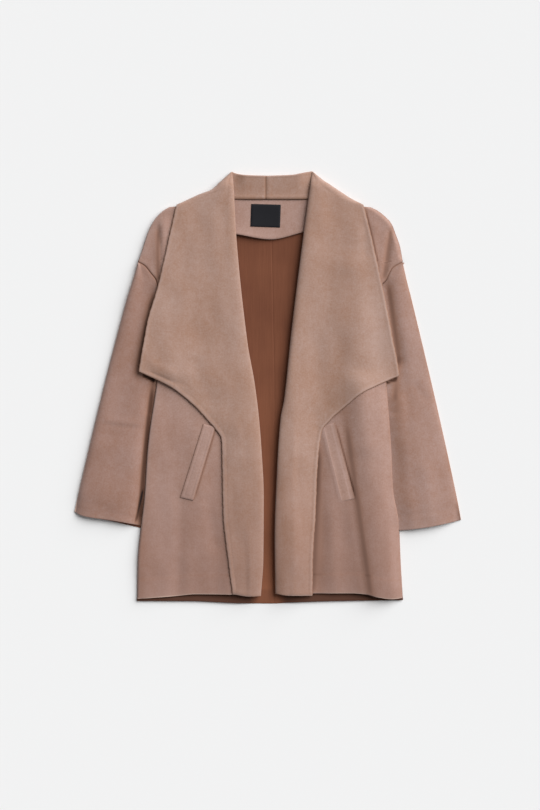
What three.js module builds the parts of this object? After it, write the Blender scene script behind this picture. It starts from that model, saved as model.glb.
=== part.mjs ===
// An open-front coat in faux suede, laid flat on its back: two back panels, two fronts that
// turn back at the roll into wide waterfall lapels, a shawl collar, two sleeves, a back neck
// facing, a bare label and two pocket welts. Millimetres, +Z up. X runs across the coat and
// Y towards the collar. Every piece is a wall of cloth: a sheet of points, worked out
// section by section, thickened to both sides.
import * as THREE from 'three';
import { mergeVertices } from 'three/addons/utils/BufferGeometryUtils.js';

// ---- driving dimensions ---------------------------------------------------------------
const cloth = 1.2; // thickness of one layer
const gap = 0.3; // clearance between neighbouring layers and pieces
const seamShare = 0.25; // what each piece gives up at a seam of the armhole
const labelCloth = 1.0; // thickness of the woven label

const floorLayer = cloth / 2; // middle of a layer that lies on the surface
const neckLayer = 2.4; // middle of the back where the collar's fall lies under it
const frontLayer = 9; // middle of the fronts
const rollRadius = 2; // bend of the front at the roll
const layerStep = cloth + gap; // from the middle of one layer to the next
const underLapelLayer = frontLayer + 2 * rollRadius;
const lapelLayer = underLapelLayer + layerStep;
const facingLayer = frontLayer - layerStep;
const standLayer = 4.3; // middle of the collar's stand and the back neck facing
const cuffLoft = 11; // middle of a sleeve's upper wall below the elbow
const foldReach = 8; // how far in from an edge a fold takes to level out
const facingWidth = 34; // facing behind the roll
const cornerLift = 3.5; // how far a lapel's free corner stands up
const collarInset = 36; // how far inside the collar's wrap the shoulder's panels end

const neckSeam = 376; // height of the seam under the collar's stand
const fallEdge = 363.5; // outer edge of the collar behind the neck
const backTop = 371.5; // top of the back panels, under the facing
const frontTop = 385; // top of the fronts, inside the collar
const wrapTop = 417; // where the lapel's wrap over the shoulder ends, below its peak
const collarSeam = -4.5; // centre-back seam of the collar
const hemBend = -300; // below this a section follows the slope of its hem
const underarm = 8; // below this a sleeve is a closed tube
const centring = { x: 0.25, y: 0.75 }; // puts the middle of the coat's extents on the origin

// Centre-back seam of the body.
const backSeam = [
  { y: -434, x: 12 },
  { y: 0, x: 13.3 },
  { y: 120, x: 11 },
  { y: 292, x: 7.5 },
  { y: 400, x: 3 },
];

// Each half of the coat, by the side on which it lies. Every table runs from the hem to
// the collar, or outwards from the middle, and "out" is the distance from the middle.
const halves = [
  {
    side: 'left',
    sign: -1,
    sideSeam: [
      { y: -424, out: 262 },
      { y: -346, out: 260.5 },
      { y: -275, out: 253.5 },
      { y: -224, out: 247.5 },
      { y: -122, out: 240.5 },
      { y: 8, out: 222 },
    ],
    armhole: [
      { y: 8, out: 222 },
      { y: 54, out: 215.5 },
      { y: 114, out: 211.5 },
      { y: 174, out: 215.5 },
      { y: 213, out: 223.5 },
      { y: 236, out: 238.5 },
      { y: 250, out: 260 },
    ],
    shoulder: [
      { y: 250, out: 260 },
      { y: 273, out: 252 },
      { y: 313, out: 238.5 },
      { y: 333, out: 228 },
      { y: 347, out: 216 },
      { y: 359, out: 198.5 },
      { y: 363.5, out: 182.5 },
    ],
    collarWrap: [
      { y: 363.5, out: 182.5 },
      { y: 384, out: 139.5 },
      { y: 394, out: 113.5 },
      { y: 412, out: 93.5 },
      { y: 431, out: 72.5 },
    ],
    roll: [
      { y: -420, out: 13.5 },
      { y: -346, out: 7.5 },
      { y: -219, out: 6 },
      { y: -122, out: 11 },
      { y: -65, out: 15 },
      { y: 4, out: 25.5 },
      { y: 90, out: 41 },
      { y: 300, out: 63 },
      { y: 414, out: 69.5 },
      { y: 431, out: 72.5 },
    ],
    stripEdge: [
      { y: -420, out: 70.5 },
      { y: -346, out: 79.5 },
      { y: -255, out: 89 },
      { y: -104, out: 92.5 },
      { y: -94, out: 97.5 },
      { y: -66, out: 121 },
      { y: -41, out: 143.5 },
      { y: -20, out: 167.5 },
      { y: 0.6, out: 195.5 },
      { y: 14, out: 222 },
      { y: 30.5, out: 258 },
    ],
    lapelEdge: [
      { y: 30.5, out: 258 },
      { y: 74, out: 250.5 },
      { y: 138, out: 238.5 },
      { y: 190, out: 222.5 },
      { y: 250, out: 208 },
      { y: 331, out: 190 },
      { y: 363.5, out: 182.5 },
    ],
    sleeveEdge: [
      { y: -250, out: 387.5 },
      { y: -186, out: 373.5 },
      { y: 175, out: 283 },
      { y: 215, out: 270.5 },
      { y: 250, out: 260 },
    ],
    cuff: [
      { out: 240, y: -281 },
      { out: 268, y: -275 },
      { out: 310, y: -267.5 },
      { out: 371, y: -258 },
      { out: 387.5, y: -250 },
    ],
    frontHem: [
      { out: 12, y: -418 },
      { out: 60, y: -413.5 },
      { out: 146, y: -412 },
      { out: 183, y: -416 },
      { out: 262, y: -422.5 },
    ],
    stripHem: [
      { out: 13, y: -418 },
      { out: 35, y: -419 },
      { out: 71, y: -414 },
    ],
    backHem: [
      { out: -13, y: -433.5 },
      { out: 60, y: -431.5 },
      { out: 154, y: -427.5 },
      { out: 262, y: -426 },
    ],
    collarTop: [
      { out: -5, y: 422.5 },
      { out: 43, y: 424 },
      { out: 62, y: 427 },
      { out: 72.5, y: 431 },
    ],
    welt: { topIn: 105.5, topOut: 128.5, topY: -78, lowIn: 149.5, lowOut: 174.5, lowY: -224 },
  },
  {
    side: 'right',
    sign: 1,
    sideSeam: [
      { y: -424, out: 270.5 },
      { y: -346, out: 265.5 },
      { y: -271, out: 262 },
      { y: -204, out: 250.5 },
      { y: -126, out: 247 },
      { y: 8, out: 237 },
    ],
    armhole: [
      { y: 8, out: 237 },
      { y: 54, out: 226.5 },
      { y: 114, out: 220.5 },
      { y: 174, out: 222.5 },
      { y: 213, out: 235 },
      { y: 236, out: 248 },
      { y: 250, out: 270 },
    ],
    shoulder: [
      { y: 250, out: 270 },
      { y: 282, out: 264 },
      { y: 306, out: 255.5 },
      { y: 327, out: 247 },
      { y: 348, out: 226 },
      { y: 358, out: 209 },
      { y: 363.5, out: 191 },
    ],
    collarWrap: [
      { y: 363.5, out: 191 },
      { y: 378, out: 164.5 },
      { y: 399, out: 132.5 },
      { y: 413, out: 111.5 },
      { y: 432, out: 88.5 },
    ],
    roll: [
      { y: -420, out: 15 },
      { y: -306, out: 13.5 },
      { y: -171, out: 18 },
      { y: -65, out: 25 },
      { y: -25, out: 32.5 },
      { y: 103, out: 46 },
      { y: 307, out: 71.5 },
      { y: 376, out: 81 },
      { y: 432, out: 88.5 },
    ],
    stripEdge: [
      { y: -420, out: 90.5 },
      { y: -346, out: 91.5 },
      { y: -255, out: 97 },
      { y: -171, out: 99 },
      { y: -90, out: 107.5 },
      { y: -63, out: 128 },
      { y: -37, out: 157.5 },
      { y: -13, out: 186.5 },
      { y: 3, out: 218.5 },
      { y: 22.5, out: 263 },
    ],
    lapelEdge: [
      { y: 22.5, out: 263 },
      { y: 54, out: 258 },
      { y: 90, out: 250.3 },
      { y: 122, out: 244.7 },
      { y: 179, out: 233.5 },
      { y: 243, out: 219.5 },
      { y: 327, out: 200.5 },
      { y: 363.5, out: 191 },
    ],
    sleeveEdge: [
      { y: -266, out: 387 },
      { y: -226, out: 379.5 },
      { y: 175, out: 288 },
      { y: 208, out: 279.5 },
      { y: 250, out: 270 },
    ],
    cuff: [
      { out: 240, y: -288 },
      { out: 266, y: -287 },
      { out: 315, y: -281.5 },
      { out: 370, y: -270.5 },
      { out: 387, y: -266 },
    ],
    frontHem: [
      { out: 15, y: -414 },
      { out: 90, y: -412 },
      { out: 170, y: -411.5 },
      { out: 198, y: -414 },
      { out: 217, y: -420 },
      { out: 250, y: -424.5 },
      { out: 270, y: -422.5 },
    ],
    stripHem: [
      { out: 15, y: -413 },
      { out: 40, y: -417 },
      { out: 90, y: -417.5 },
    ],
    backHem: [
      { out: 12, y: -433.5 },
      { out: 77, y: -429 },
      { out: 152, y: -426.5 },
      { out: 270, y: -423 },
    ],
    collarTop: [
      { out: -5, y: 422.5 },
      { out: 48, y: 424.5 },
      { out: 72, y: 429 },
      { out: 88.5, y: 432 },
    ],
    welt: { topIn: 110.5, topOut: 133.3, topY: -76, lowIn: 147.5, lowOut: 172.9, lowY: -226 },
  },
];

// The broad troughs that the fronts lie in. Depth fades in and out along each one.
const troughs = [
  { side: 'right', topOut: 168, topY: -40, lowOut: 204, lowY: -430, width: 34, depth: 2.2 },
  { side: 'left', topOut: 205, topY: -60, lowOut: 214, lowY: -430, width: 40, depth: 1.2 },
];

// ---- curves and heights ---------------------------------------------------------------
const { clamp, lerp, smoothstep } = THREE.MathUtils;

// A smooth curve through a table, which never overshoots its rows.
function curveThrough(rows, key, value) {
  const at = rows.map((row) => row[key]);
  const height = rows.map((row) => row[value]);
  const slope = at.slice(1).map((end, i) => (height[i + 1] - height[i]) / (end - at[i]));
  const tangent = at.map((_, i) => {
    const before = slope[Math.max(0, i - 1)];
    const after = slope[Math.min(slope.length - 1, i)];
    return before * after <= 0 ? 0 : (2 * before * after) / (before + after);
  });
  return (where) => {
    const x = clamp(where, at[0], at[at.length - 1]);
    let i = 0;
    while (i < at.length - 2 && x > at[i + 1]) i += 1;
    const span = at[i + 1] - at[i];
    const s = (x - at[i]) / span;
    const ease = s * s * (3 - 2 * s);
    const pull = s * (1 - s) * (1 - s) * tangent[i] - s * s * (1 - s) * tangent[i + 1];
    return lerp(height[i], height[i + 1], ease) + span * pull;
  };
}

// One curve after another, each over its own range of heights.
function chain(...tables) {
  const curves = tables.map((rows) => curveThrough(rows, 'y', 'out'));
  return (y) => {
    const i = tables.findIndex((rows) => y <= rows[rows.length - 1].y);
    return curves[i < 0 ? curves.length - 1 : i](y);
  };
}

// Distance along X that stands for one millimetre square to a sloping edge.
function slant(edge, y) {
  const step = 1;
  return Math.hypot(1, (edge(y + step) - edge(y - step)) / (2 * step));
}

// Heights of the sections between two ends: the fixed ones, and others evenly between them.
function levels(fixed, spacing) {
  return fixed.slice(1).flatMap((end, i) => {
    const start = fixed[i];
    const count = Math.max(1, Math.round(Math.abs(end - start) / spacing));
    const first = i === 0 ? 0 : 1;
    const steps = Array.from({ length: count + 1 - first }, (_, k) => (k + first) / count);
    return steps.map((s) => lerp(start, end, s));
  });
}

// Where the lapel's columns lie, as shares of the way from the roll to its free edge.
const lapelShares = [0.25, 0.5, 0.7, 0.86, 1];

const fractions = (count) => Array.from({ length: count + 1 }, (_, i) => i / count);

function backHeight(y) {
  return lerp(floorLayer, neckLayer, smoothstep(y, 330, 356));
}

function troughDepth(side, out, y) {
  return troughs
    .filter((trough) => trough.side === side)
    .reduce((sum, trough) => {
      const along = clamp((y - trough.topY) / (trough.lowY - trough.topY), 0, 1);
      const centre = lerp(trough.topOut, trough.lowOut, along);
      const across = Math.abs(out - centre) / trough.width;
      return sum + trough.depth * smoothstep(along, 0, 0.3) * (1 - smoothstep(across, 0, 1));
    }, 0);
}

// ---- sheets of cloth ------------------------------------------------------------------
class Sheet {
  constructor() {
    this.points = [];
    this.faces = [];
    this.index = new Map();
  }

  point(p) {
    const key = [p.x, p.y, p.z].map((value) => Math.round(value * 500)).join();
    if (!this.index.has(key)) {
      this.index.set(key, this.points.length);
      this.points.push(p.clone());
    }
    return this.index.get(key);
  }

  // Rows of points, each with as many points as the others.
  grid(rows, flipped = false) {
    const ids = rows.map((row) => row.map((p) => this.point(p)));
    for (let i = 1; i < ids.length; i += 1) {
      for (let j = 1; j < ids[i].length; j += 1) {
        const corners = [ids[i - 1][j - 1], ids[i - 1][j], ids[i][j], ids[i][j - 1]];
        const face = corners.filter((id, k) => id !== corners[(k + 3) % 4]);
        if (face.length > 2) this.faces.push(flipped ? face.reverse() : face);
      }
    }
    return this;
  }

  normals() {
    const sums = this.points.map(() => new THREE.Vector3());
    for (const face of this.faces) {
      const corner = (k) => this.points[face[k % face.length]];
      const first = new THREE.Vector3().subVectors(corner(2), corner(0));
      const second = new THREE.Vector3().subVectors(corner(3), corner(1));
      const square = first.cross(second).normalize();
      for (const id of face) sums[id].add(square);
    }
    return sums.map((sum) => sum.normalize());
  }

  // The closed wall that reaches half its thickness to each side of the sheet.
  wall(thickness) {
    const normals = this.normals();
    const count = this.points.length;
    const moved = (by) => this.points.map((p, i) => p.clone().addScaledVector(normals[i], by));
    const corners = [...moved(thickness / 2), ...moved(-thickness / 2)];
    const triangles = [];
    const borders = new Map();
    for (const face of this.faces) {
      for (let k = 2; k < face.length; k += 1) {
        const [a, b, c] = [face[0], face[k - 1], face[k]];
        triangles.push([a, b, c], [a + count, c + count, b + count]);
      }
      face.forEach((start, k) => {
        const end = face[(k + 1) % face.length];
        borders.set(`${start},${end}`, [start, end]);
      });
    }
    for (const [start, end] of borders.values()) {
      if (borders.has(`${end},${start}`)) continue;
      triangles.push([start, start + count, end + count], [start, end + count, end]);
    }
    return closedGeometry(corners, triangles);
  }
}

function closedGeometry(corners, triangles) {
  const volume = triangles.reduce((sum, [a, b, c]) => {
    const cross = new THREE.Vector3().crossVectors(corners[b], corners[c]);
    return sum + corners[a].dot(cross);
  }, 0);
  const order = volume > 0 ? triangles : triangles.map(([a, b, c]) => [a, c, b]);
  const geometry = new THREE.BufferGeometry();
  const places = corners.flatMap((p) => [p.x, p.y, p.z]);
  geometry.setAttribute('position', new THREE.Float32BufferAttribute(places, 3));
  geometry.setIndex(order.flat());
  return mergeVertices(geometry, 1e-4);
}

// ---- one half of the coat ---------------------------------------------------------------
class Half {
  constructor(shape) {
    this.shape = shape;
    this.roll = chain(shape.roll);
    this.outline = chain(shape.sideSeam, shape.armhole, shape.shoulder, shape.collarWrap);
    this.lapelOutline = chain(shape.stripEdge, shape.lapelEdge, shape.collarWrap);
    this.sleeveOutline = chain(shape.sleeveEdge);
    this.corner = shape.lapelEdge[0].y;
    this.frontHem = curveThrough(shape.frontHem, 'out', 'y');
    this.stripHem = curveThrough(shape.stripHem, 'out', 'y');
    this.backHem = curveThrough(shape.backHem, 'out', 'y');
    this.cuff = curveThrough(shape.cuff, 'out', 'y');
    this.collarTop = curveThrough(shape.collarTop, 'out', 'y');
    this.seam = curveThrough(backSeam, 'y', 'x');
  }

  at(out, y, z) {
    return new THREE.Vector3(this.shape.sign * out, y, z);
  }

  // Where a section's point at this distance lies, below the bend following the hem's slope.
  height(level, out, hem, hemLevel, bend) {
    if (level >= bend) return level;
    return lerp(bend, hem(out), (bend - level) / (bend - hemLevel));
  }

  // Outer boundary of the body's panels: over the shoulder it runs inside the collar.
  bodyEdge(y) {
    return this.outline(y) - collarInset * smoothstep(y, fallEdge - 4.5, fallEdge);
  }

  // 1 where a panel folds down to the panel under it, 0 where it meets the sleeve.
  folded(y) {
    return Math.max(1 - smoothstep(y, underarm - 14, underarm), smoothstep(y, 249, 256));
  }

  frontHeight(out, y) {
    return frontLayer - troughDepth(this.shape.side, out, y);
  }

  lapelLift(share, y) {
    const rise = Math.exp(-(((y - this.corner) / 70) ** 2));
    return cornerLift * smoothstep(share, 0.45, 1) * rise;
  }

  // A front: up and over from its side seam or armhole to the roll, then back out.
  front() {
    const heights = [...this.sharedLevels(), 366, 375, frontTop];
    const rows = heights.map((level) => [...this.frontBody(level), ...this.underLapel(level)]);
    return new Sheet().grid(rows).wall(cloth);
  }

  // The sections that the front and the lapel share, up to the shoulder.
  sharedLevels() {
    const low = [-420, hemBend, -104, -90, -66, -36, underarm - 14, underarm];
    const high = [this.corner - 8, this.corner, 54, 114, 174, 213, 236, 250, 256, 313, 347, 359];
    return levels([...low, ...high], 62);
  }

  rollCentre(y) {
    return this.roll(y) + cloth / 2 + layerStep + rollRadius;
  }

  frontBody(level) {
    const folded = this.folded(level);
    const inner = this.rollCentre(level);
    const clearance = folded > 0.5 ? cloth / 2 : seamShare * slant(this.outline, level);
    const outer = this.bodyEdge(level) - clearance;
    const reach = Math.min(foldReach * Math.min(slant(this.outline, level), 2.2), (outer - inner) / 3);
    const low = backHeight(level) + cloth / 2 + gap;
    const turn = fractions(3).map((s) => {
      const angle = (s * Math.PI) / 2;
      const out = outer - reach * (1 - Math.cos(angle));
      const top = this.frontHeight(out, level);
      return [out, lerp(top, lerp(low, top, Math.sin(angle)), folded)];
    });
    const flat = fractions(5).slice(1).map((s) => {
      const out = lerp(outer - reach, inner, s);
      return [out, this.frontHeight(out, level)];
    });
    return [...turn, ...flat].map(([out, z]) => {
      return this.at(out, this.height(level, out, this.frontHem, -420, hemBend), z);
    });
  }

  underLapel(level) {
    const centre = this.rollCentre(level);
    const bend = [-45, 0, 45, 90].map((degrees) => {
      const angle = THREE.MathUtils.degToRad(degrees);
      const out = centre - rollRadius * Math.cos(angle);
      return [out, frontLayer + rollRadius * (1 + Math.sin(angle))];
    });
    const edge = level > fallEdge ? this.bodyEdge(level) : this.lapelOutline(level);
    const flat = lapelShares.map((share) => {
      return [lerp(centre, edge, share), underLapelLayer + this.lapelLift(share, level)];
    });
    return [...bend, ...flat].map(([out, z]) => {
      return this.at(out, this.height(level, out, this.stripHem, -420, hemBend), z);
    });
  }

  // The facing behind the roll, the lapel over it, and the collar that runs on behind the neck.
  lapel() {
    const sheet = new Sheet();
    const overShoulder = [fallEdge, fallEdge + 3, 372, 384, 394, 406, wrapTop];
    const wrapped = overShoulder.map((level) => this.lapelSection(level));
    sheet.grid([...this.sharedLevels().map((level) => this.lapelSection(level)), ...wrapped]);
    this.collar(sheet, wrapped.map((row) => row[row.length - 1]));
    return sheet.wall(cloth);
  }

  lapelSection(level) {
    const centre = this.rollCentre(level);
    const radius = rollRadius + layerStep;
    const inner = centre + Math.min(facingWidth, (this.lapelOutline(level) - centre) * 0.3);
    const behind = fractions(2).map((s) => [lerp(inner, centre, s), facingLayer]);
    const bend = [-45, 0, 45, 90].map((degrees) => {
      const angle = THREE.MathUtils.degToRad(degrees);
      const z = frontLayer + rollRadius + radius * Math.sin(angle);
      return [centre - radius * Math.cos(angle), z];
    });
    const over = level < fallEdge ? this.lapelOver(level, centre) : this.lapelWrap(level, centre);
    return [...behind, ...bend, ...over].map(([out, z]) => {
      return this.at(out, this.height(level, out, this.stripHem, -420, hemBend), z);
    });
  }

  lapelOver(level, centre) {
    return lapelShares.map((share) => {
      return [lerp(centre, this.lapelOutline(level), share), lapelLayer + this.lapelLift(share, level)];
    });
  }

  // Above its free edge the lapel turns down over the shoulder.
  lapelWrap(level, centre) {
    const edge = this.lapelOutline(level) - cloth / 2;
    const reach = Math.min(2.2 * foldReach, (edge - centre) * 0.6);
    const drop = ((lapelLayer - floorLayer) / 2) * smoothstep(level, fallEdge, fallEdge + 8);
    const turn = [0, 30, 60, 90].map((degrees) => {
      const angle = THREE.MathUtils.degToRad(degrees);
      return [edge - reach * (1 - Math.sin(angle)), lapelLayer - drop * (1 - Math.cos(angle))];
    });
    return [[lerp(centre, edge - reach, 0.5), lapelLayer], ...turn];
  }

  // Behind the neck: the fall under the back, the fold along the top, and the stand.
  collar(sheet, edge) {
    const { sign } = this.shape;
    const tip = edge[0];
    const fallColumns = edge.map((point) => {
      const settled = smoothstep(Math.abs(tip.x - point.x), 0, 12);
      const low = lerp(tip.z, floorLayer, settled);
      const reach = Math.min(foldReach * 0.5, (point.y - fallEdge) * 0.5);
      const turn = [0, 30, 60, 90].map((degrees) => {
        const angle = THREE.MathUtils.degToRad(degrees);
        const y = point.y - reach * (1 - Math.cos(angle));
        return new THREE.Vector3(point.x, y, lerp(point.z, low, Math.sin(angle)));
      });
      return [...turn, ...this.fallFlat(point.x, point.y - reach, low)];
    });
    const peak = this.shape.collarTop[this.shape.collarTop.length - 1].out;
    const spread = fractions(4).map((s) => lerp(peak, sign * collarSeam + gap / 2, s));
    const radius = (standLayer - floorLayer) / 2;
    const topColumns = spread.map((out) => {
      const top = this.collarTop(out) - cloth / 2 - radius;
      const fold = [0, 30, 60, 90].map((degrees) => {
        const angle = THREE.MathUtils.degToRad(degrees);
        const z = floorLayer + radius * (1 - Math.sin(angle));
        return this.at(out, top + radius * Math.cos(angle), degrees === 0 ? floorLayer + radius : z);
      });
      return [...fold, ...this.fallFlat(sign * out, top, floorLayer)];
    });
    sheet.grid([...fallColumns, ...topColumns]);
    const stand = spread.map((out) => {
      const top = this.collarTop(out) - cloth / 2 - radius;
      const fold = [0, 30, 60, 90].map((degrees) => {
        const angle = THREE.MathUtils.degToRad(degrees);
        return this.at(out, top + radius * Math.cos(angle), floorLayer + radius * (1 + Math.sin(angle)));
      });
      const flat = fractions(2).slice(1).map((s) => this.at(out, lerp(top, neckSeam, s), standLayer));
      return [...fold, ...flat];
    });
    sheet.grid(stand, true);
  }

  fallFlat(x, top, z) {
    return fractions(2).slice(1).map((s) => new THREE.Vector3(x, lerp(top, fallEdge, s), z));
  }

  // A back panel, flat on the surface up to the neck.
  back() {
    const fixed = [-420, hemBend, -122, underarm, 54, 114, 174, 213, 236, 250, 256, 313];
    const heights = levels([...fixed, 333, 347, 359, 364, backTop], 130);
    const rows = heights.map((level) => {
      const meets = seamShare * slant(this.outline, level) * (1 - this.folded(level));
      const outer = this.bodyEdge(level) - meets;
      const inner = this.shape.sign * this.seam(level) + gap / 2;
      return fractions(4).map((s) => {
        const out = lerp(outer, inner, s);
        return this.at(out, this.height(level, out, this.backHem, -420, hemBend), backHeight(level));
      });
    });
    return new Sheet().grid(rows).wall(cloth);
  }

  // A sleeve: open towards the body down to the underarm, and a flattened tube below it.
  sleeve() {
    const heights = levels([248, 236, 213, 174, 114, 54, underarm, -60, -122, -200, -270], 62);
    const rows = heights.map((level) => this.sleeveSection(level));
    return new Sheet().grid(rows).wall(cloth);
  }

  sleeveLevel(level, out) {
    return this.height(level, out, this.cuff, -270, underarm);
  }

  sleeveSection(level) {
    const open = level >= underarm;
    const top = lerp(frontLayer, cuffLoft, 1 - smoothstep(level, -90, 20));
    let outer = this.sleeveOutline(level);
    let inner = this.outline(level);
    for (let pass = 0; pass < 4; pass += 1) {
      outer = this.sleeveOutline(this.sleeveLevel(level, outer));
      inner = this.outline(this.sleeveLevel(level, inner));
    }
    outer -= cloth / 2;
    inner += open ? seamShare * slant(this.outline, level) : cloth / 2 + 3 * gap;
    const reach = Math.min(foldReach, (outer - inner) * 0.3);
    const middle = (top + floorLayer) / 2;
    const half = (top - floorLayer) / 2;
    const arc = (degrees, centre, side) => {
      const angle = THREE.MathUtils.degToRad(degrees);
      return [centre + side * reach * Math.cos(angle), middle + half * Math.sin(angle)];
    };
    const atFold = (degrees) => arc(degrees, inner + reach, -1);
    const atSeam = (share, z) => [inner + reach * share, z];
    const innerTop = open ? [atSeam(0, top), atSeam(0.5, top)] : [atFold(0), atFold(50)];
    const innerLow = open
      ? [atSeam(0.5, floorLayer), atSeam(0, floorLayer)]
      : [atFold(-50), atFold(0)];
    const across = fractions(3).map((s) => lerp(inner + reach, outer - reach, s));
    const ring = [
      ...innerTop,
      ...across.map((out) => [out, top]),
      ...[50, 0, -50].map((degrees) => arc(degrees, outer - reach, 1)),
      ...across.reverse().map((out) => [out, floorLayer]),
      ...innerLow,
    ];
    return ring.map(([out, z]) => this.at(out, this.sleeveLevel(level, out), z));
  }

  // A pocket welt on the front, its cloth lying a layer above the front's.
  welt() {
    const { topIn, topOut, topY, lowIn, lowOut, lowY } = this.shape.welt;
    const slope = 6;
    const rows = fractions(4).map((down) => {
      return fractions(2).map((over) => {
        const out = lerp(lerp(topIn, topOut, over), lerp(lowIn, lowOut, over), down);
        const y = lerp(topY, lowY, down) + slope * (over - 0.5);
        return this.at(out, y, frontLayer + layerStep + gap);
      });
    });
    return new Sheet().grid(rows).wall(cloth);
  }
}

// The facing inside the back of the neck, with a shallow point at its lower edge.
function backNeckFacing() {
  const lowerEdge = curveThrough([
    { x: -86, y: 309 },
    { x: -62, y: 305.5 },
    { x: 5, y: 295.5 },
    { x: 70, y: 310 },
    { x: 100, y: 318 },
  ], 'x', 'y');
  const rows = fractions(4).map((down) => {
    return fractions(8).map((over) => {
      const x = lerp(-82, 96, over);
      const y = lerp(neckSeam - 2 * gap, lowerEdge(x), down);
      return new THREE.Vector3(x, y, standLayer - 0.6 * down);
    });
  });
  return new Sheet().grid(rows).wall(cloth);
}

// The bare label, sewn to the facing under the neck seam.
function label() {
  const rows = fractions(2).map((down) => {
    return fractions(2).map((over) => {
      const x = lerp(-33.6, 25, over);
      const height = standLayer + cloth / 2 + gap + labelCloth / 2;
      return new THREE.Vector3(x, lerp(365.5, 320, down), height);
    });
  });
  return new Sheet().grid(rows).wall(labelCloth);
}

// ---- finishes and the scene graph ---------------------------------------------------------
const suede = { color: 0xa88978, roughness: 0.95, metalness: 0 };
const lapelSuede = { color: 0xab8c78, roughness: 0.95, metalness: 0 };
const wrongSide = { color: 0x7a4b34, roughness: 0.9, metalness: 0 };
const wovenLabel = { color: 0x1e1e26, roughness: 0.7, metalness: 0 };

const coat = new THREE.Group();
coat.position.set(centring.x, centring.y, 0);

function add(name, geometry, finish) {
  const mesh = new THREE.Mesh(geometry, new THREE.MeshStandardMaterial(finish));
  mesh.name = name;
  coat.add(mesh);
}

for (const shape of halves) {
  const half = new Half(shape);
  add(`back_${shape.side}`, half.back(), wrongSide);
  add(`front_${shape.side}`, half.front(), suede);
  add(`lapel_${shape.side}`, half.lapel(), lapelSuede);
  add(`sleeve_${shape.side}`, half.sleeve(), suede);
  add(`welt_${shape.side}`, half.welt(), suede);
}
add('back_neck_facing', backNeckFacing(), suede);
add('label', label(), wovenLabel);

export default coat;
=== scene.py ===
# %% [markdown]
# # A faux suede coat, laid flat on its back
#
# A coat on a table is a stack of thin sheets. The back lies on the surface, the two fronts
# lie on the back, and each front turns over at the roll and lies on itself again as a wide
# lapel. This lesson builds each sheet as the tailor's pieces that it is made of, one
# section of cloth after another, and then gives the sheets their thickness and their nap.
#
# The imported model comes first. It is the frame that every piece here is measured against.

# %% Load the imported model
import math

import bpy
import numpy as np
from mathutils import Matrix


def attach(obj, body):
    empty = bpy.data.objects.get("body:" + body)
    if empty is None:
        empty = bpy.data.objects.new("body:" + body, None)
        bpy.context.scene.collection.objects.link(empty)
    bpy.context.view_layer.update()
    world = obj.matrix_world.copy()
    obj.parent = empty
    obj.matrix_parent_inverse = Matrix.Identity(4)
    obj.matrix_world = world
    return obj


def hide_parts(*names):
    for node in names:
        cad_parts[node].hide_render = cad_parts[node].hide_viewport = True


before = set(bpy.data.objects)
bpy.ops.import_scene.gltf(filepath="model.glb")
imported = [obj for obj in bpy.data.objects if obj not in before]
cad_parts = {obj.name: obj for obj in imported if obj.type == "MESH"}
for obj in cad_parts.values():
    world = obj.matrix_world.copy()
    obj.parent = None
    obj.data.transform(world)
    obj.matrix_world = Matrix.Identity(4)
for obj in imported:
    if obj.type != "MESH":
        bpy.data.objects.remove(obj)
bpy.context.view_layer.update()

print("nodes in the frame:", ", ".join(sorted(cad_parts)))

# %% [markdown]
# ## The camera and the light
#
# The coat is seen from straight above. A long lens from four metres up keeps the sleeves
# from leaning outwards. The view is 1.62 m high where the coat is, with its middle a
# little below the coat's own.
#
# The light is a wide, soft one from the upper right, with a pale room all round. A sun
# lamp is used for it because it lights every part of the surface alike, and its large
# angle stands for a large softbox, so that each shadow has a soft edge.

# %% Camera and light
MM = 0.001
VIEW_HIGH = 1.62
VIEW_MIDDLE = (0.0045, -0.0358)
CAMERA_HEIGHT = 4.0
COAT_TOP = 0.01
SENSOR = 36.0
SOFTBOX_ANGLE = 58
SOFTBOX_TURNED = (-34, 48.4, 0)

scene = bpy.context.scene
scene.view_settings.view_transform = "Standard"


def placed(name, data, at=(0, 0, 0), turned=(0, 0, 0)):
    thing = bpy.data.objects.new(name, data)
    thing.location = at
    thing.rotation_euler = [math.radians(angle) for angle in turned]
    scene.collection.objects.link(thing)
    return thing


lens = bpy.data.cameras.new("camera")
lens.sensor_width = SENSOR
lens.lens = SENSOR * (CAMERA_HEIGHT - COAT_TOP) / VIEW_HIGH
lens.clip_end = 20
camera = placed("camera", lens, (*VIEW_MIDDLE, CAMERA_HEIGHT))
scene.camera = camera

sun = bpy.data.lights.new("softbox", "SUN")
sun.energy = 4.6
sun.angle = math.radians(SOFTBOX_ANGLE)
placed("softbox", sun, turned=SOFTBOX_TURNED)

room = bpy.data.worlds.new("room")
room.use_nodes = True
room.node_tree.nodes["Background"].inputs["Color"].default_value = (1, 1, 1, 1)
room.node_tree.nodes["Background"].inputs["Strength"].default_value = 0.23
scene.world = room
print("lens", round(lens.lens, 1), "mm; camera at", [round(x, 3) for x in camera.location])

# %% [markdown]
# ## Writing shaders as sums
#
# A material here is a few lines of arithmetic: a blotch plus a streak, mixed between two
# colours. One small class wraps a socket, so that `+`, `-` and `*` add Math nodes. A
# second one holds the material, and adds every other node from its type, its settings and
# what goes into it.


# %% A socket with arithmetic
class Shade:
    """One output socket of a node, with arithmetic on it."""

    def __init__(self, finish, socket):
        self.finish = finish
        self.socket = socket

    def math(self, operation, first, second):
        return self.finish.node("ShaderNodeMath", {"operation": operation}, {0: first, 1: second})

    def __add__(self, other):
        return self.math("ADD", self, other)

    def __radd__(self, other):
        return self.math("ADD", other, self)

    def __sub__(self, other):
        return self.math("SUBTRACT", self, other)

    def __rsub__(self, other):
        return self.math("SUBTRACT", other, self)

    def __mul__(self, other):
        return self.math("MULTIPLY", self, other)

    def __rmul__(self, other):
        return self.math("MULTIPLY", other, self)


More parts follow.
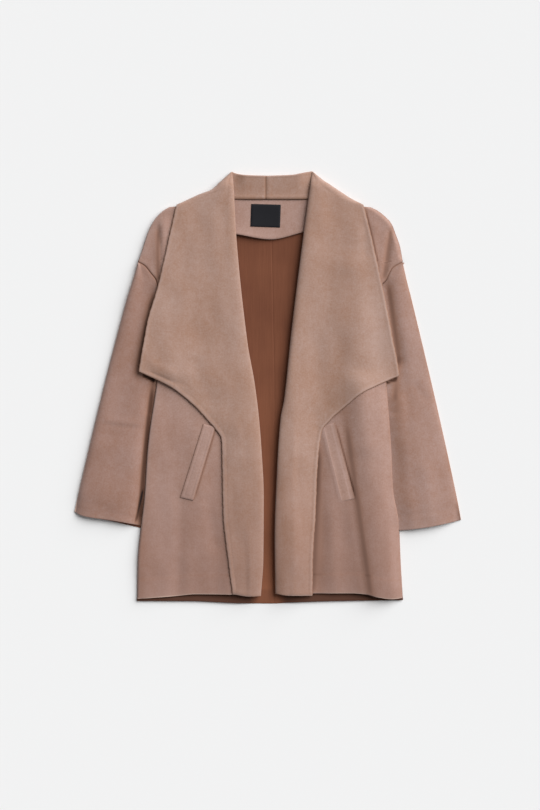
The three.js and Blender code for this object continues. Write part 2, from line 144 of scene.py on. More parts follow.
# %% A material to write it in
class Finish:
    """A material's nodes, added one at a time."""

    def __init__(self, name):
        self.material = bpy.data.materials.new(name)
        self.material.use_nodes = True
        self.tree = self.material.node_tree
        self.tree.nodes.clear()

    def node(self, kind, settings=None, inputs=None, output=0):
        made = self.tree.nodes.new(kind)
        for key, value in (settings or {}).items():
            setattr(made, key, value)
        for key, value in (inputs or {}).items():
            socket = made.inputs[key]
            if isinstance(value, Shade):
                self.tree.links.new(value.socket, socket)
            else:
                socket.default_value = value
        return Shade(self, made.outputs[output])

    def mix(self, share, first, second):
        """Colour first where share is 0, second where it is 1."""
        inputs = {0: share, 6: first, 7: second}
        return self.node("ShaderNodeMix", {"data_type": "RGBA"}, inputs, output=2)

    def noise(self, place, scale, detail, roughness=0.5):
        inputs = {"Vector": place, "Scale": scale, "Detail": detail, "Roughness": roughness}
        return self.node("ShaderNodeTexNoise", {}, inputs)

    def bump(self, height, strength, distance):
        inputs = {"Strength": strength, "Distance": distance * MM, "Height": height}
        return self.node("ShaderNodeBump", {}, inputs)

    def surface(self, inputs):
        """Close the material with one shader that has these inputs."""
        shader = self.node("ShaderNodeBsdfPrincipled", {}, inputs)
        end = self.tree.nodes.new("ShaderNodeOutputMaterial")
        self.tree.links.new(shader.socket, end.inputs["Surface"])
        return self.material


# %% Colours
def colour(red, green, blue):
    """A colour as it looks on screen, from 0 to 255, as the shader's linear one."""
    shares = [part / 255 for part in (red, green, blue)]
    return (*[s / 12.92 if s <= 0.04045 else ((s + 0.055) / 1.055) ** 2.4 for s in shares], 1.0)


# Colours of the marks on the suede: the dark of seams and of painted shade, the deepest painted shade,
# painted shade towards the hem, the pale of worn nap and of painted light, and a painted shadow along the
# back's hem.
SEAM_DARK_AND_PAINTED_SHADE = colour(88, 58, 44)
PAINTED_DEEP_SHADE = colour(30, 16, 12)
SHADED = colour(137, 102, 88)
WORN_AND_PAINTED_LIGHT = colour(208, 178, 162)
SHADOWED_BACK = colour(62, 38, 28)
# The pale colour, for worn nap and for painted light:
print("worn suede, to the shader:", [round(part, 3) for part in WORN_AND_PAINTED_LIGHT])

# %% [markdown]
# ## Faux suede
#
# Faux suede is a fine microfibre whose short nap is brushed one way. Where a hand or an
# iron has pushed the nap over, it looks a little lighter or darker, so the cloth is never
# one colour: it has soft clouds a few centimetres wide, smaller mottling, and faint
# streaks along the grain. The nap also catches light at its edges, which is what sheen is
# for, and where cloth turns over an edge the nap opens and looks paler.
#
# A picture of cloth could give all of this, but it would repeat. Noise in the object's own
# space doesn't, and each piece can have its own direction of grain. How much paler or
# darker each point is painted comes from the mesh, as an attribute on its points. Above
# nought it is paler, for worn nap and for painted light on edges that face away from the
# light. Below nought it is darker, for the dark of seams and for painted shade in folds,
# in gaps and under edges.


# %% The grain, the wear and painted light and shade, and the height of a point
def grain(finish, degrees, across=0.0):
    """The place on the cloth, turned so that its second axis runs along the grain."""
    here = finish.node("ShaderNodeTexCoord", output=3)
    turned = {"Vector": here, "Location": (across, across, 0), "Rotation": (0, 0, math.radians(degrees))}
    return finish.node("ShaderNodeMapping", {}, turned)


def stretched(finish, place, along):
    return finish.node("ShaderNodeMapping", {}, {"Vector": place, "Scale": (1, along, 1)})


# The attribute that says how much paler or darker each point is painted: worn nap and seams, and painted
# light and shade.
def wear_light_and_shade_at(finish):
    return finish.node("ShaderNodeAttribute", {"attribute_name": "wear_light_and_shade"}, output=2)


def lower_down(finish, start, end):
    """0 nearer the collar than the start, 1 nearer the hem than the end, in metres."""
    here = finish.node("ShaderNodeTexCoord", output=3)
    height = finish.node("ShaderNodeSeparateXYZ", {}, {0: here}, output=1)
    softly = {"interpolation_type": "SMOOTHSTEP"}
    return finish.node("ShaderNodeMapRange", softly, {0: height, 1: start, 2: end})


# %% The suede
def suede(name, light, dark, degrees=0.0, seed=0.0, fade=(0.0, -0.1, -0.4)):
    """Fade is how much painted shade darkens the suede towards the hem, where the light falls off, and
    where that starts and ends.
    """
    finish = Finish(name)
    place = grain(finish, degrees, seed)
    cloud = finish.noise(place, 13, 3)
    mottle = finish.noise(place, 80, 3, 0.6)
    speckle = finish.noise(place, 300, 3, 0.7)
    streak = finish.noise(stretched(finish, place, 0.08), 190, 3, 0.6)
    wear_light_and_shade = wear_light_and_shade_at(finish)
    depth = (cloud - 0.5) * 1.0 + (mottle - 0.5) * 0.7 + (speckle - 0.5) * 1.35
    amount, start, end = fade
    lower = lower_down(finish, start, end)
    depth = depth + (streak - 0.5) * 0.3 + wear_light_and_shade * 0.5 + 0.5
    # Painted shade lower down, towards the hem, for the light falling off.
    shade = finish.mix(lower * amount, finish.mix(depth, dark, light), SHADED)
    # Paler above 1.2: worn nap, and painted light along hems and on edges that face away from the light.
    shade = finish.mix((wear_light_and_shade - 1.2) * 0.8, shade, WORN_AND_PAINTED_LIGHT)
    # Darker below minus one: the dark of seams, and painted shade in folds, in gaps and under edges.
    shade = finish.mix((wear_light_and_shade + 1) * -0.62, shade, SEAM_DARK_AND_PAINTED_SHADE)
    # Darkest below minus three: painted shade under lifted edges and in the deepest gaps.
    shade = finish.mix((wear_light_and_shade + 3) * -0.6, shade, PAINTED_DEEP_SHADE)
    fuzz = (speckle - 0.5) * 0.8 + (streak - 0.5) * 0.2 + (mottle - 0.5) * 0.3
    return finish.surface(
        {
            "Base Color": shade,
            "Roughness": 0.93,
            "Normal": finish.bump(fuzz, 0.35, 0.35),
            "Sheen Weight": 0.22,
            "Sheen Roughness": 0.55,
            "Sheen Tint": (0.95, 0.96, 1.0, 1),
            "Specular IOR Level": 0.18,
        }
    )


body_suede = suede("body_suede", colour(172, 142, 132), colour(152, 116, 100), 0, 0.0, (0.42, 0.0, -0.4))
lapel_suede = suede(
    "lapel_suede", colour(174, 145, 133), colour(156, 119, 99), 0, 1.7, (0.38, -0.05, -0.38)
)
# The left sleeve's suede is darker than the right's: painted shade, as the left sleeve lies further from
# the light.
sleeve_suede = {
    "left": suede("sleeve_suede_left", colour(160, 130, 120), colour(144, 107, 90), 14, 4.1),
    "right": suede("sleeve_suede_right", colour(169, 140, 131), colour(152, 115, 98), -14, 6.3),
}
# The right welt's suede is paler than the body's: painted light, a lit copy of the body's suede.
welt_suede = {
    "left": body_suede,
    "right": suede("welt_suede_right", colour(184, 152, 141), colour(164, 128, 112), -14, 2.2),
}
print("nodes in the body's suede:", len(body_suede.node_tree.nodes))

# %% [markdown]
# ## The wrong side
#
# The coat has no lining, so between the fronts the wrong side of its back is seen: a
# smooth knit in a deep rust brown, with faint wales along the grain. It needs much less
# than the suede does, a cloud and one stretched noise for the wales. It is painted a little
# paler towards the hem, as light in the narrow gap between the fronts, and darker along
# the hem, as a painted shadow of the fronts' hems.


# %% The smooth brown back of the cloth
def smooth_back(name, light, dark):
    finish = Finish(name)
    place = grain(finish, 0, 3.0)
    cloud = finish.noise(place, 11, 2)
    wale = finish.noise(stretched(finish, place, 0.05), 420, 2)
    fibre = finish.noise(place, 1100, 1)
    lower = lower_down(finish, 0.25, -0.45)
    # Paler lower down: painted light in the narrow gap between the fronts.
    depth = (cloud - 0.5) * 0.4 + (wale - 0.5) * 0.25 + (fibre - 0.5) * 0.15 + lower * 0.5 + 0.17
    # Towards the shadowed colour where the attribute is below nought: a painted shadow along the hem.
    shade = finish.mix(wear_light_and_shade_at(finish) * -1, finish.mix(depth, dark, light), SHADOWED_BACK)
    return finish.surface(
        {
            "Base Color": shade,
            "Roughness": 0.78,
            "Normal": finish.bump(wale, 0.3, 0.2),
            "Sheen Weight": 0.1,
            "Sheen Roughness": 0.5,
            "Specular IOR Level": 0.25,
        }
    )


wrong_side = smooth_back("wrong_side", colour(153, 96, 68), colour(100, 56, 36))
print("nodes in the wrong side:", len(wrong_side.node_tree.nodes))

# %% [markdown]
# ## The label's satin
#
# The label is a damask ribbon: a fine satin weave, nearly black, seen as close crossed
# ribs. Two sets of bands, one across the other, are enough at this size. It is left bare.


# %% The satin
def satin(name, light, dark):
    finish = Finish(name)
    place = grain(finish, 0)

    def ribs(direction, scale):
        bands = {"wave_type": "BANDS", "bands_direction": direction}
        inputs = {"Vector": place, "Scale": scale, "Distortion": 0.4}
        return finish.node("ShaderNodeTexWave", bands, inputs)

    warp, weft = ribs("X", 420), ribs("Y", 260)
    shade = finish.mix(finish.noise(place, 60, 2) * 0.7 + warp * 0.3, dark, light)
    bump = finish.bump(warp * 0.5 + weft * 0.5, 0.4, 0.1)
    return finish.surface(
        {"Base Color": shade, "Roughness": 0.6, "Normal": bump, "Specular IOR Level": 0.25}
    )


label_satin = satin("label_satin", colour(19, 19, 26), colour(9, 9, 14))
print("finishes made:", [m.name for m in bpy.data.materials if m.users == 0])

# %% [markdown]
# ## The size of every section
#
# These short tables say where each edge of the coat lies, section by section, in
# millimetres. A coat is never laid down quite evenly, so each half has its own. `y` runs
# from the hem to the collar, `out` is the distance from the middle, and `z` is the height
# above the table.
#
# Heights are those of the middle of a layer of cloth: `FLOOR` on the table, `NECK` where
# the back rises behind the neck, `FRONT` for a front and `STAND` for the collar's stand.
# The other levels are the places along the coat where its shape changes.
#
# The single numbers are the habits of each half. For the sleeve, `loft` is how high its
# top stands and `crest` where, `dome` how flat it stays out to the fold, `puff` how much
# it swells on the way, `start` and `run` how it rises from its inner edge, `tuck` how far
# it goes under the body, `nub` the little corner at the shoulder seam, and `longer_below`
# how far its lower layer shows at the cuff. For the front, `wall` is how steeply it falls
# at the side, `settle` how far from the roll the lapel comes to rest, and `strip_dome` how
# rounded the strip below the lapel is. One number is how much light is painted on a
# folded edge, or how much shade below nought: light on the left, whose edges face away
# from the light, and shade on the right. `seam_dark` is how dark a seam is.
#
# Of the tables, `relief` says how wide the roll is (`reach`), how high its top stands over
# the front (`rise`) and how far the lapel's edge stands off it (`lift`). `fold` is how far
# in the rounding at the side reaches, and `edge_low` how low the front comes there.

# %% Thicknesses and levels that both halves share
CLOTH = 1.2
GAP = 0.3
STEP = CLOTH + GAP
FLOOR = CLOTH / 2
NECK = 2.4
FRONT = 9.0
STAND = 4.3
HEM_LEVEL = -420
HEM_BEND = -300
CUFF_LEVEL = -270
UNDERARM = 8
ARMHOLE_TOP = 250
FALL_EDGE = 363.5
BACK_TOP = 371.5
NECK_SEAM = 376
FRONT_TOP = 385
COLLAR_SEAM = -4.5
SPACING = 4.2
SEAM_SHARE = 0.25
COLLAR_INSET = 36
LOWEST_FRONT = 4.4
SLEEVE_FOLD = 1.9
HEM_TURNING = 40
CUFF_TURNING = 26
HEM_THICKER = 0.35
CENTRING = (0.25, 0.75)


def table(columns, *values):
    """A short table: a dictionary for each row."""
    return [dict(zip(columns.split(), row)) for row in values]


BACK_SEAM = table("y x", (-434, 12), (0, 13.3), (120, 11), (292, 7.5), (400, 3))
print("one layer of cloth is", CLOTH, "mm; the next lies", STEP, "mm higher")

# %% The left half
LEFT = dict(
    sign=-1,
    # Light painted on the folded edges of this half, which face away from the light.
    edge_nap=2.2,
    seam_dark=2.6,
    nub=0.0,
    longer_below=5.0,
    crest=0.5,
    dome=9.0,
    loft=10.5,
    puff=2.2,
    strip_dome=0.9,
    start=0.3,
    tuck=-0.8,
    run=26,
    wall=0.82,
    edge_low=table("y z", (-434, 1.5), (440, 1.5)),
    fold=table("y reach", (-424, 24), (-290, 22), (-262, 12), (-166, 11), (0, 10), (431, 6)),
    side_seam=table(
        "y out", (-424, 262), (-346, 260.5), (-275, 253.5), (-224, 247.5), (-122, 240.5), (8, 222),
    ),
    armhole=table(
        "y out", (8, 222), (54, 215.5), (114, 211.5), (174, 215.5), (213, 223.5), (228, 234.5),
        (243, 247.0), (250, 260),
    ),
    shoulder=table(
        "y out", (250, 260), (273, 252), (313, 238.5), (333, 228), (347, 216), (359, 198.5),
        (363.5, 182.5),
    ),
    collar_wrap=table("y out", (363.5, 182.5), (384, 139.5), (394, 113.5), (412, 93.5), (431, 72.5)),
    roll=table(
        "y out", (-420, 14), (-346, 9), (-219, 8.2), (-122, 13), (-65, 17.5), (4, 26), (90, 41),
        (300, 63), (414, 69.5), (431, 72.5),
    ),
    strip_edge=table(
        "y out", (-420, 70.5), (-346, 79.5), (-255, 89), (-104, 92.5), (-94, 97.5), (-66, 121),
        (-41, 143.5), (-20, 167.5), (0.6, 195.5), (14, 222), (30.5, 258),
    ),
    lapel_edge=table(
        "y out", (30.5, 258), (74, 250.5), (138, 238.5), (190, 222.5), (250, 208), (331, 190),
        (363.5, 182.5),
    ),
    sleeve_edge=table("y out", (-250, 387.5), (-186, 373.5), (175, 283), (215, 270.5), (250, 260)),
    cuff=table("out y", (240, -281), (268, -275), (310, -267.5), (371, -258), (387.5, -250)),
    front_hem=table("out y", (12, -418), (60, -415.5), (146, -415), (183, -418.5), (262, -424.5)),
    strip_hem=table("out y", (13, -418), (35, -419), (71, -414)),
    back_hem=table("out y", (-13, -434), (60, -433), (154, -429), (262, -428.5)),
    collar_top=table("out y", (-5, 422.5), (43, 424), (62, 427), (72.5, 431)),
    welt=dict(
        top_in=105.5, top_out=128.5, top_y=-78, low_in=149.5, low_out=174.5, low_y=-224,
        edges=(1.9, 1.9), sewn_in=0.0,
    ),
    settle=90,
    relief=table(
        "y reach rise lift", (-424, 30, 6.0, 0.3), (-300, 33, 7.0, 0.5), (-166, 40, 7.0, 1.0),
        (-90, 34, 6.8, 0.3), (-20, 28, 6.3, 0.3), (10, 25, 6.0, 2.6), (30, 22, 5.6, 5.5),
        (100, 20, 5.0, 5.0), (200, 18, 5.0, 3.2), (300, 14, 5.0, 1.4), (364, 11, 5.0, 0.3),
        (431, 6, 4.0, 0.0),
    ),
)
print("left half:", sum(len(rows) for rows in LEFT.values() if isinstance(rows, list)), "rows")

# %% The right half
RIGHT = dict(
    sign=1,
    # Shade painted on the folded edges of this half.
    edge_nap=-1.2,
    seam_dark=1.8,
    nub=3.5,
    longer_below=0.0,
    crest=0.42,
    dome=2.0,
    loft=11.5,
    puff=0.0,
    strip_dome=0.0,
    start=0.26,
    tuck=1.2,
    run=36,
    wall=0.3,
    edge_low=table("y z", (-434, 1.5), (-290, 1.5), (-256, 6.8), (8, 6.8), (440, 6.8)),
    fold=table("y reach", (-424, 24), (-166, 24), (0, 16), (431, 6)),
    side_seam=table(
        "y out", (-424, 270.5), (-346, 265.5), (-271, 262), (-204, 250.5), (-126, 247), (8, 237),
    ),
    armhole=table(
        "y out", (8, 237), (54, 226.5), (114, 220.5), (174, 222.5), (204, 228), (213, 236.5),
        (228, 243.8), (236, 248), (241, 253.5), (250, 270),
    ),
    shoulder=table(
        "y out", (250, 270), (282, 264), (306, 255.5), (327, 247), (348, 226), (358, 209),
        (363.5, 191),
    ),
    collar_wrap=table("y out", (363.5, 191), (378, 164.5), (399, 132.5), (413, 111.5), (432, 88.5)),
    roll=table(
        "y out", (-420, 15), (-306, 13.5), (-171, 18), (-65, 25), (-25, 32.5), (103, 46), (307, 71.5),
        (376, 81), (432, 88.5),
    ),
    strip_edge=table(
        "y out", (-420, 89), (-346, 89.8), (-255, 95.2), (-171, 98.5), (-90, 107.5), (-63, 128),
        (-37, 157.5), (-13, 186.5), (3, 218.5), (22.5, 263),
    ),
    lapel_edge=table(
        "y out", (22.5, 263), (54, 258), (90, 250.3), (122, 244.7), (179, 233.5), (243, 219.5),
        (327, 200.5), (363.5, 191),
    ),
    sleeve_edge=table("y out", (-266, 387), (-226, 379.5), (175, 288), (208, 279.5), (250, 270)),
    cuff=table("out y", (240, -288), (266, -287), (315, -281.5), (370, -270.5), (387, -266)),
    front_hem=table(
        "out y", (15, -414), (90, -413.5), (170, -413), (198, -415), (217, -420), (250, -424.5),
        (270, -422.5),
    ),
    strip_hem=table("out y", (15, -413), (40, -417), (90, -417.5)),
    back_hem=table("out y", (12, -434), (77, -430.5), (152, -428.5), (270, -427)),
    collar_top=table("out y", (-5, 422.5), (48, 424.5), (72, 429), (88.5, 432)),
    welt=dict(
        top_in=110.5, top_out=133.3, top_y=-76, low_in=147.5, low_out=172.9, low_y=-226,
        edges=(-1.2, 2.0), sewn_in=1.0,
    ),
    settle=56,
    relief=table(
        "y reach rise lift", (-424, 34, 8.0, 1.4), (-346, 38, 10.0, 1.2), (-250, 32, 10.0, 0.8),
        (-166, 32, 10.0, 0.8), (-46, 20, 9.0, 1.0), (22, 12, 8.0, 0.2), (94, 8, 8.0, 0.4),
        (174, 12, 7.5, 1.0), (300, 11, 6.8, 1.0), (364, 10, 6.0, 0.2), (431, 6, 4.0, 0.0),
    ),
)
print("right half:", sum(len(rows) for rows in RIGHT.values() if isinstance(rows, list)), "rows")

# %% [markdown]
# ## Smooth lines through the tables
#
# An edge of cloth is a smooth line, but it must not bulge past the sizes in its table. A
# cubic through the rows whose slope is the harmonic mean of its neighbours' does that.


# %% Curves
class Line:
    """A smooth line through a table's rows that never overshoots them."""

    def __init__(self, rows, key="y", value="out"):
        self.at = np.array([row[key] for row in rows], float)
        self.value = np.array([row[value] for row in rows], float)
        slope = np.diff(self.value) / np.diff(self.at)
        before, after = np.r_[slope[0], slope], np.r_[slope, slope[-1]]
        same = before * after > 0
        self.tangent = np.where(same, 2 * before * after / np.where(same, before + after, 1), 0)

    def __call__(self, where):
        x = np.clip(where, self.at[0], self.at[-1])
        i = np.clip(np.searchsorted(self.at, x, side="right") - 1, 0, len(self.at) - 2)
        span = self.at[i + 1] - self.at[i]
        s = (x - self.at[i]) / span
        pull = s * (1 - s) ** 2 * self.tangent[i] - s * s * (1 - s) * self.tangent[i + 1]
        rise = self.value[i + 1] - self.value[i]
        return self.value[i] + rise * s * s * (3 - 2 * s) + span * pull


class Chain:
    """One line after another, each over its own range of heights, with a slight pucker."""

    def __init__(self, *tables, pucker=0.0):
        self.tops = [rows[-1]["y"] for rows in tables]
        self.lines = [Line(rows) for rows in tables]
        self.pucker = pucker

    def __call__(self, y):
        wave = self.pucker * (math.sin(y / 2.9) + 0.7 * math.sin(y / 1.7 + 1) + 0.6 * math.sin(y / 9))
        for top, line in zip(self.tops, self.lines):
            if y <= top:
                return float(line(y)) + wave
        return float(self.lines[-1](y)) + wave


print("half way up, the back's seam is", round(float(Line(BACK_SEAM, "y", "x")(0)), 1), "mm to the right")


# %% Steps, bells and sections
def smooth(x, low, high):
    """0 up to the low value, 1 from the high one on, and a soft step between them."""
    s = np.clip((np.asarray(x, float) - low) / (high - low), 0, 1)
    return s * s * (3 - 2 * s)


def bell(x, middle, width):
    """1 at the middle, falling softly to nothing on both sides."""
    return np.exp(-(((x - middle) / width) ** 2))


def fading(x, length):
    """1 at an edge, and about a third of it after each length away from there."""
    return np.exp(-x / length)


def between(start, end, share):
    return start + (end - start) * share


def arc(start, end, count):
    return np.radians(np.linspace(start, end, count))


def slant(edge, y):
    """Distance across that stands for one millimetre square to a sloping edge."""
    return math.hypot(1, (edge(y + 1) - edge(y - 1)) / 2)


def levels(fixed, spacing):
    """Heights of the sections: the fixed ones, and others evenly between them."""
    found = [fixed[0]]
    for start, end in zip(fixed, fixed[1:]):
        count = max(1, round(abs(end - start) / spacing))
        found += [between(start, end, (k + 1) / count) for k in range(count)]
    return found


def section_y(level, out, hem, hem_level=HEM_LEVEL, bend=HEM_BEND):
    """Below the bend a section follows the slope of its hem."""
    out = np.asarray(out, float)
    if level >= bend:
        return np.full(out.shape, float(level))
    return between(bend, hem(out), (bend - level) / (bend - hem_level))


print("sections of a 100 mm strip, about 30 mm apart:", [round(y) for y in levels([0, 100], 30)])

# %% [markdown]
# ## Creases
#
# Cloth on a table keeps a memory of how it was worn and carried. Noise could crease it,
# but real creases run from where the cloth was folded or pulled, so each one is listed:
# where it starts and ends, how wide it is, and how deep. A negative depth is a ridge, and
# `bow` is how far its middle bends away from a straight line. They are uneven on purpose.

# %% Creases on the fronts
FRONT_CREASES = table(
    "side x0 y0 x1 y1 width depth bow",
    ("left", -206, 340, -207, 190, 11, -3.0),
    ("left", -221, 325, -220, 200, 5, 2.2),
    ("left", -150, -70, -118, -260, 16, -1.2),
    ("left", -128, -215, -104, -330, 13, 1.2),
    ("left", -176, -200, -180, -450, 14, 1.6),
    ("left", -84, -150, -80, -440, 20, -3.0),
    ("right", 247, 322, 230, 208, 7, 3.2, 0),
    ("right", 183, 30, 196, -140, 30, -2.6, 0),
    ("right", 102, -70, 100, -440, 20, 2.4, 0),
    ("right", 214, 330, 214, 240, 9, -1.2),
    ("right", 179, 60, 227, -460, 43, -9.5, -6),
    ("right", 148, -60, 203, -460, 9, 1.2, 0),
    ("right", 124, -230, 138, -450, 15, -1.7, 0),
    ("right", 108, -78, 145, -228, 4, -0.6, 0),
)

# %% Creases on the lapels and the sleeves
LAPEL_CREASES = table(
    "side x0 y0 x1 y1 width depth bow",
    ("left", -242, 32, -196, 13, 3.5, 1.0),
    ("left", -200, 14, -164, 5, 4.0, 0.8),
    ("left", -238, 50, -186, 28, 8, -1.0),
    ("left", -150, 60, -118, -40, 14, 1.2),
    ("right", 104, -60, 104, -440, 24, 2.4, 0),
    ("right", 192, 330, 196, 255, 8, 1.0, 0),
    ("right", 155, 270, 182, -10, 37, -5.6, -8),
    ("right", 140, 30, 100, -70, 20, 1.2),
    ("right", 236, 34, 205, 12, 4, 0.8),
    ("right", 128, -30, 96, -90, 9, 1.0),
)

SLEEVE_CREASES = table(
    "side x0 y0 x1 y1 width depth bow",
    ("left", -330, -74, -250, -84, 3.0, 0.7),
    ("left", -330, -66, -256, -74, 8, -0.8),
    ("left", -222, 200, -262, 10, 20, 3.6, 0),
    ("left", -226, 20, -258, -300, 20, 3.6, 3),
    ("left", -246, 25, -226, 13, 5, 3.0, 0),
    ("right", 264, 60, 258, -20, 12, 1.6, 0),
    ("left", -296, 40, -330, -120, 18, 1.0),
    ("left", -306, -100, -328, -250, 20, -1.2),
    ("left", -330, -245, -268, -262, 6, 0.6),
    ("right", 230, 222, 263, 40, 15, 4.8, 0),
    ("right", 262, 60, 276, -110, 12, 1.0),
    ("right", 312, -150, 322, -270, 14, -1.0),
    ("right", 290, 10, 322, -30, 9, 0.7),
)

# %% [markdown]
# ## Painted light and shade
#
# Where the rendered light and shade fall short, strokes of colour stand in for them: darker
# for shadows under edges, in gaps and in folds, and paler where the cloth faces the light.
# The strokes have a table of their own. They change the colour and leave the shape as it is.

# %% Strokes of painted light and shade
PAINTED_LIGHT_AND_SHADE = table(
    "piece side x0 y0 x1 y1 width depth bow",
    ("front", "right", 247, 322, 230, 208, 6, -1.35, 0),
    ("front", "right", 154, -50, 212, -460, 8.5, -1.5, 0),
    ("front", "right", 101.5, -105, 88, -440, 7, -1.5, 0),
    ("front", "right", 194, 362, 223, 238, 2.2, -2.1, 0),
    ("front", "right", 135.5, -73, 175, -223, 2.2, -2.3, 0),
    ("front", "right", 109, -79, 146, -229, 3, 0.9, 0),
    ("front", "left", -103.5, -81, -147.5, -227, 2.2, -1.9, 0),
    ("front", "left", -252, -275, -254, -450, 8, -0.8, 0),
    ("front", "right", 130, 20, 152, -60, 16, -0.6, 0),
    ("front", "right", 104, -110, 104, -440, 12, -1.0, 0),
    ("front", "right", 246, -20, 258, -420, 12, 0.5, 0),
    ("front", "left", -220, 318, -220, 205, 5, -1.7, 0),
    ("front", "left", -210, -190, -208, -450, 22, 0.45, 0),
    ("lapel", "right", 216, 220, 220, 0, 26, 0.45, 0),
    ("lapel", "left", -44, -250, -42, -450, 26, -0.3, 0),
    ("lapel", "right", 158, 110, 128, -60, 22, -0.5),
    ("lapel", "right", 24, -170, 22, -440, 10, -0.6),
    ("sleeve", "left", -228, 190, -264, 20, 8, -2.0, 0),
    ("sleeve", "left", -229, 16, -258, -290, 6.0, -2.9, 3),
    ("sleeve", "left", -250, 26, -225, 12, 4.5, -4.4, 0),
    ("sleeve", "left", -250, -205, -266, -274, 2.2, -2.6, 0),
    ("sleeve", "right", 240, 214, 264, 40, 8, -1.7, 0),
    ("sleeve", "right", 262, 60, 254, -30, 8, -1.2, 0),
    ("sleeve", "right", 256, 0, 270, -230, 10, -0.6, 0),
    ("sleeve", "right", 237, 7, 259, 16.5, 3.0, -2.9, 0),
    ("lapel", "right", 236, 170, 244, 10, 24, 0.4, 0),
    ("sleeve", "right", 262, -20, 290, -260, 16, -0.35),
    ("sleeve", "right", 300, 160, 356, -120, 16, 0.5),
    ("sleeve", "left", -318, -110, -330, -240, 22, -0.25),
)


# %% Creases, painted light and shade, and unevenness at a point
def creased(creases, side, x, y):
    """How far the cloth sinks at each point, in millimetres."""
    sunk = np.zeros(np.shape(x))
    for line in creases:
        if line["side"] != side:
            continue
        along = np.array([line["x1"] - line["x0"], line["y1"] - line["y0"]])
        length = np.hypot(*along)
        share = ((x - line["x0"]) * along[0] + (y - line["y0"]) * along[1]) / length**2
        bow = line.get("bow", 0.05 * length * np.sin(line["x0"])) * np.sin(np.pi * np.clip(share, 0, 1))
        off = ((x - line["x0"]) * along[1] - (y - line["y0"]) * along[0]) / length - bow
        fade = np.clip(np.minimum(share + 0.06, 1.06 - share) * 5, 0, 1)
        sunk += line["depth"] * fade**2 * (3 - 2 * fade) * bell(off, 0, line["width"])
    return sunk


def painted_light_and_shade(piece, side, x, y):
    """How much paler the strokes of painted light make the suede, or darker below nought as painted shade.
    """
    return creased([line for line in PAINTED_LIGHT_AND_SHADE if line["piece"] == piece], side, x, y)


def undulation(x, y, seed):
    """Broad, gentle unevenness, under a millimetre high."""
    chance = np.random.default_rng(seed)
    height = np.zeros(np.shape(x))
    for wave in (210.0, 130.0, 90.0, 60.0):
        turn, phase = chance.uniform(0, np.pi), chance.uniform(0, 2 * np.pi)
        bend = chance.uniform(0, 2 * np.pi)
        run = x * np.cos(turn) * 1.4 + y * np.sin(turn) * 0.7
        cross = y * np.cos(turn) - x * np.sin(turn)
        sway = 0.9 * np.sin(2 * np.pi * cross / (1.7 * wave) + bend)
        height += wave / 210 * 0.42 * np.sin(2 * np.pi * run / wave + phase + sway)
    return height


print(len(FRONT_CREASES) + len(LAPEL_CREASES) + len(SLEEVE_CREASES), "creases placed by hand")

# %% [markdown]
# ## From a sheet of points to a wall of cloth
#
# Each piece starts as a sheet: a grid of points along the middle of the cloth. The wall is
# that sheet moved half a thickness to each side, with a rounded rim all round, so that an
# edge looks like folded cloth and not like cut card. Blender's Solidify would give the
# thickness, but with a square rim, so the wall is worked out here. The face side and the
# wrong side of the cloth get their own finishes.


# %% A sheet of points
class Sheet:
    """Points and four-sided faces in millimetres; the fourth number is how much paler, or darker below
    nought, a point is painted, for wear and seams and for painted light and shade.
    """

    def __init__(self):
        self.points = []
        self.faces = []
        self.index = {}

    def grid(self, rows, flipped=False):
        """Add a grid; points that are already there are shared."""
        shape = rows.shape[:2]
        keys = np.round(rows[:, :, :3] * 200).astype(int).reshape(-1, 3)
        ids = []
        for key, point in zip(map(tuple, keys), rows.reshape(-1, 4)):
            if key not in self.index:
                self.index[key] = len(self.points)
                self.points.append(point)
            ids.append(self.index[key])
        ids = np.array(ids).reshape(shape)
        quads = np.stack([ids[:-1, :-1], ids[:-1, 1:], ids[1:, 1:], ids[1:, :-1]], -1).reshape(-1, 4)
        self.faces.append(quads[:, ::-1] if flipped else quads)
        return self


# %% Which way the cloth faces, and where it ends
def unit(vectors):
    return vectors / np.maximum(np.linalg.norm(vectors, axis=1, keepdims=True), 1e-9)


def facing_out(place, faces):
    """The direction square to the cloth at each point."""
    one = place[faces[:, 2]] - place[faces[:, 0]]
    other = place[faces[:, 3]] - place[faces[:, 1]]
    square = unit(np.cross(one, other))
    normals = np.zeros_like(place)
    for k in range(4):
        np.add.at(normals, faces[:, k], square)
    return unit(normals)


def free_edges(faces):
    """The edges that only one face has."""
    edges = {}
    for k in range(4):
        for start, end in zip(faces[:, k].tolist(), faces[:, (k + 1) % 4].tolist()):
            if start != end:
                edges[start, end] = True
    return [pair for pair in edges if pair[::-1] not in edges]


def off_the_edge(place, normals, border):
    """The direction that leaves the cloth at each point of a free edge."""
    outward = np.zeros_like(place)
    for start, end in border:
        side = np.cross(place[end] - place[start], normals[start] + normals[end])
        side /= max(np.linalg.norm(side), 1e-9)
        outward[start] += side
        outward[end] += side
    return unit(outward)


# %% The wall
RIM_TURNS = (50, 90, 130)


def wall_mesh(name, corners, polygons, kinds, finishes, wear_light_and_shade):
    mesh = bpy.data.meshes.new(name)
    shift = np.array([*CENTRING, 0])
    mesh.from_pydata(((np.concatenate(corners) + shift) * MM).tolist(), [], polygons)
    for finish in finishes:
        mesh.materials.append(finish)
    mesh.polygons.foreach_set("material_index", kinds)
    mesh.polygons.foreach_set("use_smooth", [True] * len(polygons))
    mesh.attributes.new("wear_light_and_shade", "FLOAT", "POINT").data.foreach_set("value", np.concatenate(wear_light_and_shade))
    mesh.validate()
    mesh.update()
    return mesh


